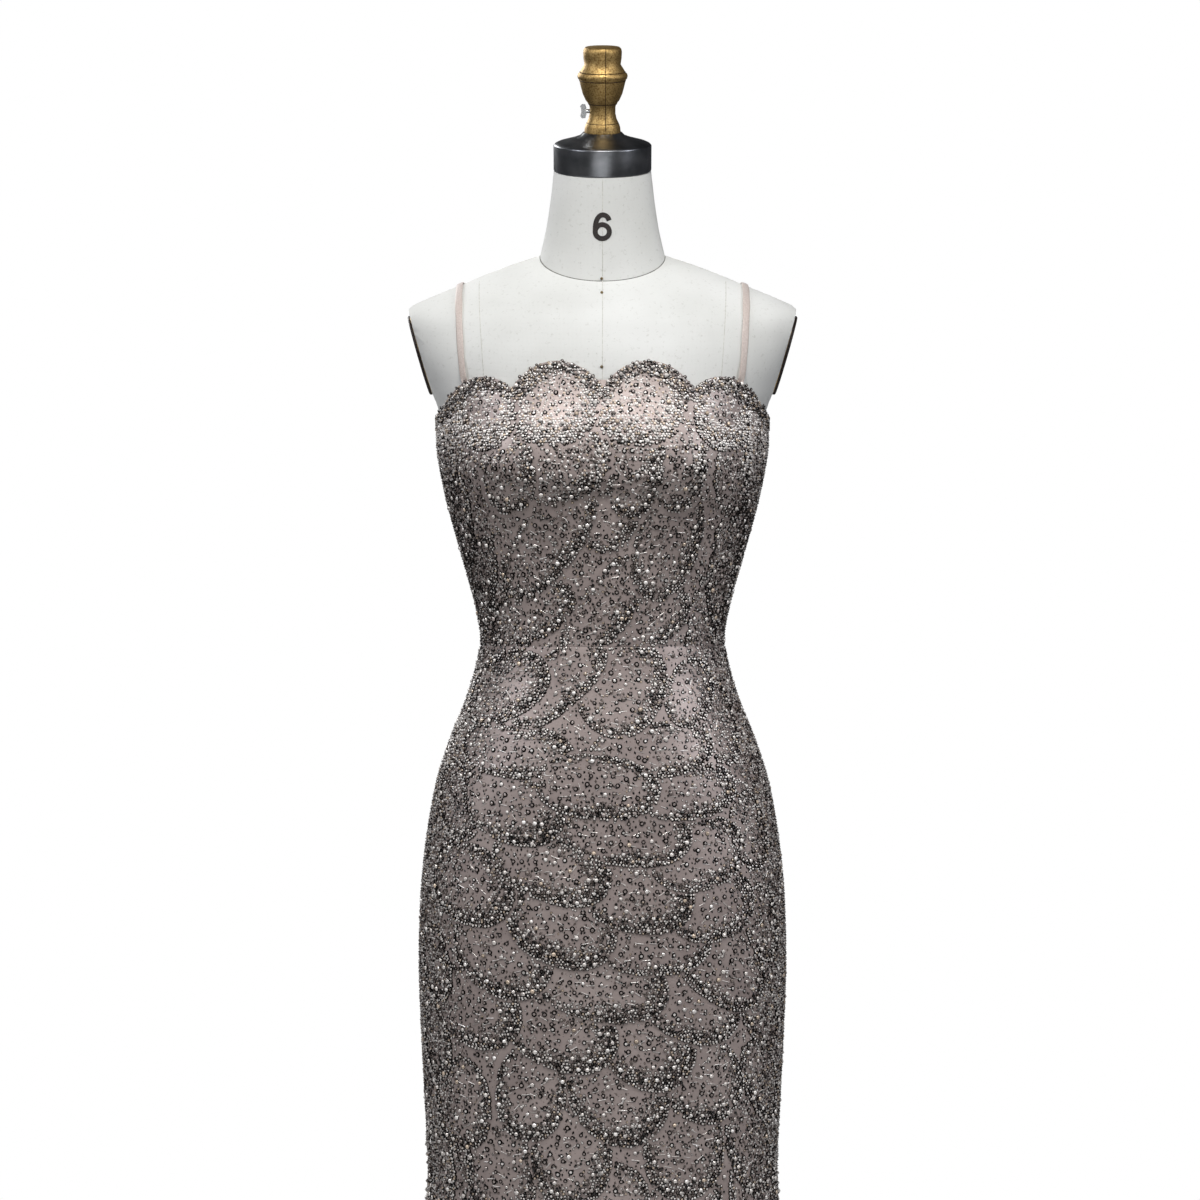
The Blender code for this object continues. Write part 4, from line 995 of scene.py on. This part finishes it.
def lobe_edges(lobes, part, ahead):
    """Points of the rows of larger beads along the lobes' edges that show."""
    rows = []
    turns = np.linspace(0.0, 2.0 * math.pi, 241)
    arch, sweep = (np.sign(wave) * np.abs(wave) ** (2.0 / SQUARENESS)
                   for wave in (np.cos(turns), np.sin(turns)))
    for number, (way0, z0, half_length, half_width, droop, _, heavy) in enumerate(lobes):
        edge = np.stack([arch * half_length, sweep * half_width], 1)
        ways = walked(edge)
        along, across = resample(edge, ways, int(ways[-1] / ROW_PITCH) + 1).T
        inward = 1.0 - ROW_INSET / np.hypot(along, across)
        x = inward * (along * math.cos(droop) + across * math.sin(droop))
        y = inward * (-along * math.sin(droop) + across * math.cos(droop))
        facing = (x * math.cos(heavy) - y * math.sin(heavy)) / np.hypot(x, y)
        row = np.stack([way0 + x, z0 + y])
        owner, _, _, clear = read_lobes(lobes[:number + 1], *row)
        seen = (owner == number) & on_cloth(part, ahead, *row, 1.6 * MM) & (clear > 1.6 * MM)
        seen &= rng.random(len(x)) < (0.93 if part == "skirt" else 0.50 + 0.20 * facing)
        if part == "bodice":
            seen &= edge_distance(ahead, *row) > EDGE_BAND
        rows.append(row[:, seen])
    rows = np.concatenate(rows, axis=1)
    return rows + rng.normal(0.0, 0.30, rows.shape) * MM


lobes_of = {("skirt", True): lobes_from(SKIRT_LOBES, False, HEM_ROWS),
            ("skirt", False): lobes_from(SKIRT_LOBES, True, HEM_ROWS),
            ("bodice", True): lobes_from(BODICE_LOBES, False),
            ("bodice", False): lobes_from(BODICE_LOBES, True)}
edges_of = {key: lobe_edges(lobes, *key) for key, lobes in lobes_of.items()}
sewn_on = {}

# The beadwork is made zone by zone on each panel: part, from, to and name, then for each place
# its side and the seeds' pitch in mm in the zones. All seeds are drawn larger and wider apart
# than real ones, most of all behind and below the knee.
ZONES = (("bodice", 1.038, 1.320, ""), ("skirt", 0.760, 1.042, "_hip"),
         ("skirt", 0.470, 0.760, "_thigh"), ("skirt", 0.016, 0.470, "_hem"))
PLACES = (("front", 0, (2.9, 3.15, 3.15, 4.0)), ("back_left", 1, (3.5, 3.6, 3.7, 4.2)),
          ("back_right", -1, (3.5, 3.6, 3.7, 4.2)))
regions = [(part, low_z, high_z, pitch, hand, part + "_" + place + zone)
           for place, hand, pitches in PLACES
           for (part, low_z, high_z, zone), pitch in zip(ZONES, pitches)]


def keep(region, points, margin):
    """The points on a region's cloth, how far they lie under the neckline, and what the lobes
    say there."""
    part, low_z, high_z, _, hand, _ = region
    ahead = hand == 0
    way, z = points
    good = on_cloth(part, ahead, way, z, margin) & (z >= low_z) & (z < high_z)
    good &= ahead | (way * hand > 0.0)
    way, z = way[good], z[good]
    under = edge_distance(ahead, way, z) if part == "bodice" else np.full(way.shape, 1.0)
    return (way, z, under) + read_lobes(lobes_of[part, ahead], way, z)[1:]


def strew(region, pitch, jitter, margin):
    """Points a pitch in mm apart over a region, a margin in mm off its edges."""
    _, low_z, high_z, _, hand, _ = region
    width = float(max(side_way(hand == 0, [low_z, high_z]))) + 5 * MM
    return keep(region, scatter(width, low_z, high_z, pitch * MM, jitter), margin * MM)


for region in regions:
    part, _, _, pitch, hand, name = region
    ahead = hand == 0
    scale = pitch * MM / SEED_PITCH

    # Packed seeds in the bands, along the neckline and, thinning, beside the side seams.
    way, z, under, inset, band, clear = strew(region, pitch, jitter=0.26, margin=1.2)
    least = np.interp(z, OPEN_Z, (0.20, 0.40)) if part == "bodice" else 0.08
    chance = np.clip((1.1 * band - inset) / BAND_FADE + 0.5, least, 0.96)
    chance = chance * (inset > ROW_INSET + ROW_CLEAR) * (clear > ROW_CLEAR)
    beside = side_way(ahead, z) - np.abs(way)
    chance = np.maximum(chance, 0.85 * np.interp(beside, SIDE_FILL, (1.0, 0.0)))
    chance = np.where(under < EDGE_BAND, 0.95, chance)
    take = rng.random(len(way)) < chance
    # Crystal seeds take over upwards on the bust: painted light where it is lit.
    lit_crystal = rng.random(len(way)) < np.interp(z, LIT_CRYSTAL_Z, (0.0, 0.9))
    rise = BAND_RISE * np.clip(1.1 - 0.8 * inset / np.maximum(band, MM), 0.25, 1.0)
    rise = np.where(under < EDGE_BAND, BAND_RISE, rise)
    # Darker seeds at the sides round the waist: painted shade where the gown turns from the light.
    shaded_flank = (beside < SIDE_FILL[0]) & (rng.random(len(way)) < np.interp(z, SHADED_SIDE_Z, (0.0, 1.0)))
    kinds = np.where(lit_crystal, "crystal", np.where(shaded_flank, "side", "band"))
    kinds[under < EDGE_BAND] = "edge"
    sewn = []
    for kind in np.unique(kinds):
        here = take & (kinds == kind)
        sewn.append(sew(ahead, way[here], z[here], kind, rise[here], scale))

    # The row of larger beads along each lobe's edge.
    way, z = keep(region, edges_of[part, ahead], 1.5 * MM)[:2]
    sewn.append(sew(ahead, way, z, "row", BAND_RISE, 0.5 + 0.5 * scale))

    # Pearls and ring beads in the open middles, some in the bands, and rings at the neckline.
    way, z, under, inset, band, clear = strew(region, PEARL_PITCH, jitter=0.24, margin=2.6)
    free = (inset > 4.0 * MM) & (clear > 3.6 * MM)
    inside = inset < band + 1.0 * MM
    pearl = rng.random(len(way)) < np.where(inside, 0.95, 0.28)
    rise = np.where(inside, BAND_RISE, 0.0)
    ring = free & ~pearl & ~inside & (under > EDGE_BAND)
    pearl &= free
    sewn.append(sew(ahead, way[pearl], z[pearl], "pearl", rise[pearl]))
    sewn.append(sew(ahead, way[ring], z[ring], "ring"))
    if part == "bodice":
        way, z, under = strew(region, EDGE_RING_PITCH, jitter=0.30, margin=-1.6)[:3]
        ring = under < EDGE_BAND
        sewn.append(sew(ahead, way[ring], z[ring], "ring", 1.5 * MM, 0.66))

    # Single dark seeds, a few bright ones and bugles between them.
    way, z, under, inset, band, clear = strew(region, DASH_PITCH[part], jitter=0.30, margin=1.6)
    free = (inset > band) & (clear > 1.8 * MM) & (under > EDGE_BAND)
    free &= rng.random(len(way)) < 0.80
    sewn.append(sew(ahead, way[free], z[free], "dash"))
    way, z, under, inset, band, clear = strew(region, BUGLE_PITCH, jitter=0.30, margin=5.0)
    free = (inset > band + 2.0 * MM) & (clear > 5.0 * MM) & (under > EDGE_BAND)
    sewn.append(sew(ahead, way[free], z[free], "bugle", 0.3 * MM))
    sewn_on[name] = [bead_piece(name + "_beads", sewn)]


# ---------------------------------------------------------------- straps
# Two narrow double-faced satin ribbons, drawn tight from the front edge over the shoulder to the
# back edge. Their ends are sewn inside the gown, behind the beads.
STRAP_FOOT_X = 0.1302         # out from the middle, on the form's own outline
STRAP_SIZE = 1.3 * MM         # about the thickness of the ribbon
STRAP_POINTS = 110
# Where each end lies: above the gown's edge, and out from the cloth's inside.
SEWN_END, AT_EDGE = (-7.0 * MM, -0.2 * MM), (0.5 * MM, 0.1 * MM)
HUB = Vector((0.0, 0.010, NECKLINE_Z))   # the straps run round this place inside the form
# The ribbon's section: across as a share of its half width, and up as a share of STRAP_SIZE.
RIBBON = ((-1.0, 0.0), (-0.93, 0.32), (-0.6, 0.50), (0.0, 0.55), (0.6, 0.50), (0.93, 0.32),
          (1.0, 0.0), (0.9, -0.3), (0.0, -0.36), (-0.9, -0.3))

# Pressed satin ribbon: pale mauve with a soft shine across the pressed folds.
ribbon, tree, shader = finish("pressed_satin_ribbon")
ribs = texture(tree, "Noise", 600.0, Detail=2.0)
add(tree, shader, {"Base Color": tones(tree, ribs, (0.3, "#C2B4AC"), (0.7, "#D3C7C0")),
                   "Roughness": 0.5, "Sheen Weight": 0.3,
                   "Normal": relief(tree, ribs, 0.15, 0.15 * MM)})
foot_share = STRAP_FOOT_X / section(np.array(NECKLINE_Z))[0]
foot_turn = math.asin(float(foot_share) ** (float(section(np.array(NECKLINE_Z))[3]) / 2.0))
for hand, node in ((1, "strap_left"), (-1, "strap_right")):
    corners = {tuple(round(c, 5) for c in v.co) for v in solids[node].data.vertices}
    corners = sorted((Vector(c) for c in corners),
                     key=lambda p: math.atan2(p.z - HUB.z, HUB.y - p.y))
    rings = [sorted(corners[i:i + 4], key=lambda p: p.x) for i in range(0, len(corners) - 3, 4)]
    centres = [sum(ring, Vector()) / 4 for ring in rings]
    halves = [(ring[2] + ring[3] - ring[0] - ring[1]) / 4 for ring in rings]
    # Each end dips behind the gown's edge, between the satin and the canvas.
    for end, turn in ((0, foot_turn), (-1, math.pi - foot_turn)):
        top = float(edge_at(np.array([turn]))[0])
        low_end, tuck = (Vector(cloth_at(np.array(hand * turn), np.array(top + rise), out))
                         for rise, out in (SEWN_END, AT_EDGE))
        centres[end] = tuck
        centres.insert(0 if end == 0 else len(centres), low_end)
        halves.insert(0 if end == 0 else len(halves), halves[end])
    ways = walked(centres)
    line = smoothed(resample(centres, ways, STRAP_POINTS), 3)
    half = resample(halves, ways, STRAP_POINTS)
    verts = []
    for i in range(STRAP_POINTS):
        along = Vector(line[min(i + 1, STRAP_POINTS - 1)] - line[max(i - 1, 0)]).normalized()
        wide = Vector(half[i])
        up = wide.cross(along).normalized()
        if up.dot(Vector(line[i]) - HUB) < 0.0:
            up.negate()
        # Its width varies a little along its length.
        pinch = 1.0 + 0.04 * math.sin(0.5 * i) + 0.03 * math.sin(0.23 * i + 1.0)
        verts += [Vector(line[i]) + wide * (a * pinch) + up * (b * STRAP_SIZE) for a, b in RIBBON]
    strap = piece("satin_" + node, verts, skin(0, STRAP_POINTS, len(RIBBON), capped=True), ribbon,
                  "ribbon", 70.0)
    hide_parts(node)
    sewn_on["bodice_front"].append(strap)


# ---------------------------------------------------------------- zip at the centre back
# A nylon coil zip: two woven tapes turned under the seam edges, their coils meshed down the
# middle, with a plated slider at the top and its pull tab hanging.
COIL_PITCH = 1.5 * MM
TAPE = ((2.9, 0.0), (1.5, 0.25), (-1.5, 0.25), (-2.9, 0.0))   # mm across and out
TOOTH = ((-0.4, 0.46), (0.5, 0.62), (1.5, 0.46))   # mm across and radius
TOOTH_OUT = 0.55              # mm off the tape
TAPE_OUT = 0.45 * MM          # off the cloth
TAPE_RIB = 1.2 * MM

# Woven nylon tape and coil, dyed to match the satin and a little glossier than it.
nylon, tree, shader = finish("dyed_nylon_coil_and_tape")
ribs = texture(tree, "Wave", 0.32 / TAPE_RIB, bands_direction="Z")
add(tree, shader, {"Base Color": tones(tree, ribs, (0.2, "#7C706C"), (0.8, "#94878A")),
                   "Roughness": 0.42, "Normal": relief(tree, ribs, 0.3, 0.2 * MM)})
heights = np.arange(ZIP_LOW_Z, ZIP_HIGH_Z, COIL_PITCH)
spine = cloth_at(np.full(heights.shape, math.pi), heights, CLOTH + TAPE_OUT)
verts = [(across * MM, y + rise * MM, z) for x, y, z in spine for across, rise in TAPE]
faces = skin(0, len(spine), len(TAPE), around=False)
# Each tooth of the coil is a short loop from one side over the middle, swelling there.
for i, (x, y, z) in enumerate(spine[:-1]):
    faces += skin(len(verts), len(TOOTH), 6, capped=True)
    for across, radius in TOOTH if i % 2 else [(-across, radius) for across, radius in TOOTH[::-1]]:
        verts += [(across * MM, y + (TOOTH_OUT + radius * math.sin(turn)) * MM,
                   z + radius * MM * math.cos(turn)) for turn in circle(6)]
coil = piece("zip_coil_and_tape", verts, faces, nylon, "zip_coil")
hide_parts("zip_chain")


# ---------------------------------------------------------------- floor, light and camera
# A pale studio floor, a broad light above the front with weaker ones below it, a strip on each
# side and a light behind.
FLOOR_RADIUS = 1.15
matt_floor = mottled("matt_pale_floor", 6.0, (0.3, "#E6E6E4"), (0.7, "#EEEEEC"), Roughness=0.85)
disc = bpy.data.meshes.new("studio_floor")
disc.from_pydata([(FLOOR_RADIUS * math.cos(turn), FLOOR_RADIUS * math.sin(turn), -0.5 * MM)
                  for turn in circle(96)], [], [tuple(range(96))])
show("studio_floor", disc, matt_floor)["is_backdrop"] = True

# A low card gives the cap and finial their bright middle, and is flagged off everything else.
polished = bpy.data.collections.new("polished_metal")
for node in ("neck_cap", "finial", "thumbscrew"):
    polished.objects.link(solids[node])

# Each light: name, place, width, height, watts and colour. All aim at the bust.
AIM = Vector((0.0, 0.0, 1.20))
LIGHTS = (("key", (0.0, -1.60, 3.10), 1.1, 0.7, 42.0, "#FFFDFA"),
          ("front", (0.10, -3.2, 2.60), 1.6, 0.5, 4.0, "#FFFFFF"),
          ("bounce", (0.02, -2.2, 0.15), 0.7, 0.35, 1.1, "#FFFFFF"),
          ("metal_card", (-0.10, -2.2, 0.52), 1.7, 0.40, 5.5, "#FFFFFF"),
          ("strip_left", (-2.3, -1.4, 2.6), 0.7, 1.6, 28.0, "#F6F8FF"),
          ("strip_right", (2.4, -1.6, 2.4), 0.8, 1.8, 32.0, "#F6F8FF"),
          ("back", (-1.8, 2.4, 2.9), 1.6, 1.4, 55.0, "#FFFFFF"))
for name, at, wide, tall, watts, shade in LIGHTS:
    lamp = bpy.data.lights.new(name, "AREA")
    lamp.shape, lamp.size, lamp.size_y, lamp.energy = "RECTANGLE", wide, tall, watts
    lamp.color = linear(shade)[:3]
    holder = bpy.data.objects.new(name, lamp)
    holder.location = at
    holder.rotation_mode = "QUATERNION"
    holder.rotation_quaternion = (AIM - Vector(at)).to_track_quat("-Z", "Y")
    holder.visible_camera = False
    if name == "metal_card":
        holder.light_linking.receiver_collection = polished
    bpy.context.scene.collection.objects.link(holder)

# The camera sees a white backdrop; the form and beads see a dimmer room, darkest overhead.
world = bpy.data.worlds.new("studio")
bpy.context.scene.world = world
world.use_nodes = True
tree = world.node_tree
tree.nodes.clear()
place = add(tree, "ShaderNodeTexCoord", {})
split = add(tree, "ShaderNodeSeparateXYZ", {"Vector": place.outputs["Generated"]})
height = add(tree, "ShaderNodeMapRange", {"Value": split.outputs["Z"], "From Min": -1.0})
room = tones(tree, height.outputs["Result"], (0.30, "#605E5C"), (0.50, "#666669"), (0.70, "#3A3A3C"))
seen = add(tree, "ShaderNodeLightPath", {})
dim = add(tree, "ShaderNodeBackground", {"Color": room, "Strength": 0.61})
white = add(tree, "ShaderNodeBackground", {"Color": linear("#FFFFFF"), "Strength": 1.0})
both = add(tree, "ShaderNodeMixShader", {0: seen.outputs["Is Camera Ray"],
                                         1: dim.outputs["Background"],
                                         2: white.outputs["Background"]})
add(tree, "ShaderNodeOutputWorld", {"Surface": both.outputs["Shader"]})
bpy.context.scene.view_settings.view_transform = "Standard"

CAMERA_DISTANCE = 2.8
FRAME_WIDTH = 1.2             # metres across the picture at the pole
SENSOR = 36.0                 # mm
lens = bpy.data.cameras.new("camera")
lens.sensor_width, lens.lens = SENSOR, SENSOR * CAMERA_DISTANCE / FRAME_WIDTH
camera = bpy.data.objects.new("camera", lens)
camera.location = (-0.0025, -CAMERA_DISTANCE, 1.085)
camera.rotation_euler = (0.5 * math.pi, 0.0, 0.0)
bpy.context.scene.collection.objects.link(camera)
bpy.context.scene.camera = camera

low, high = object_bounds()
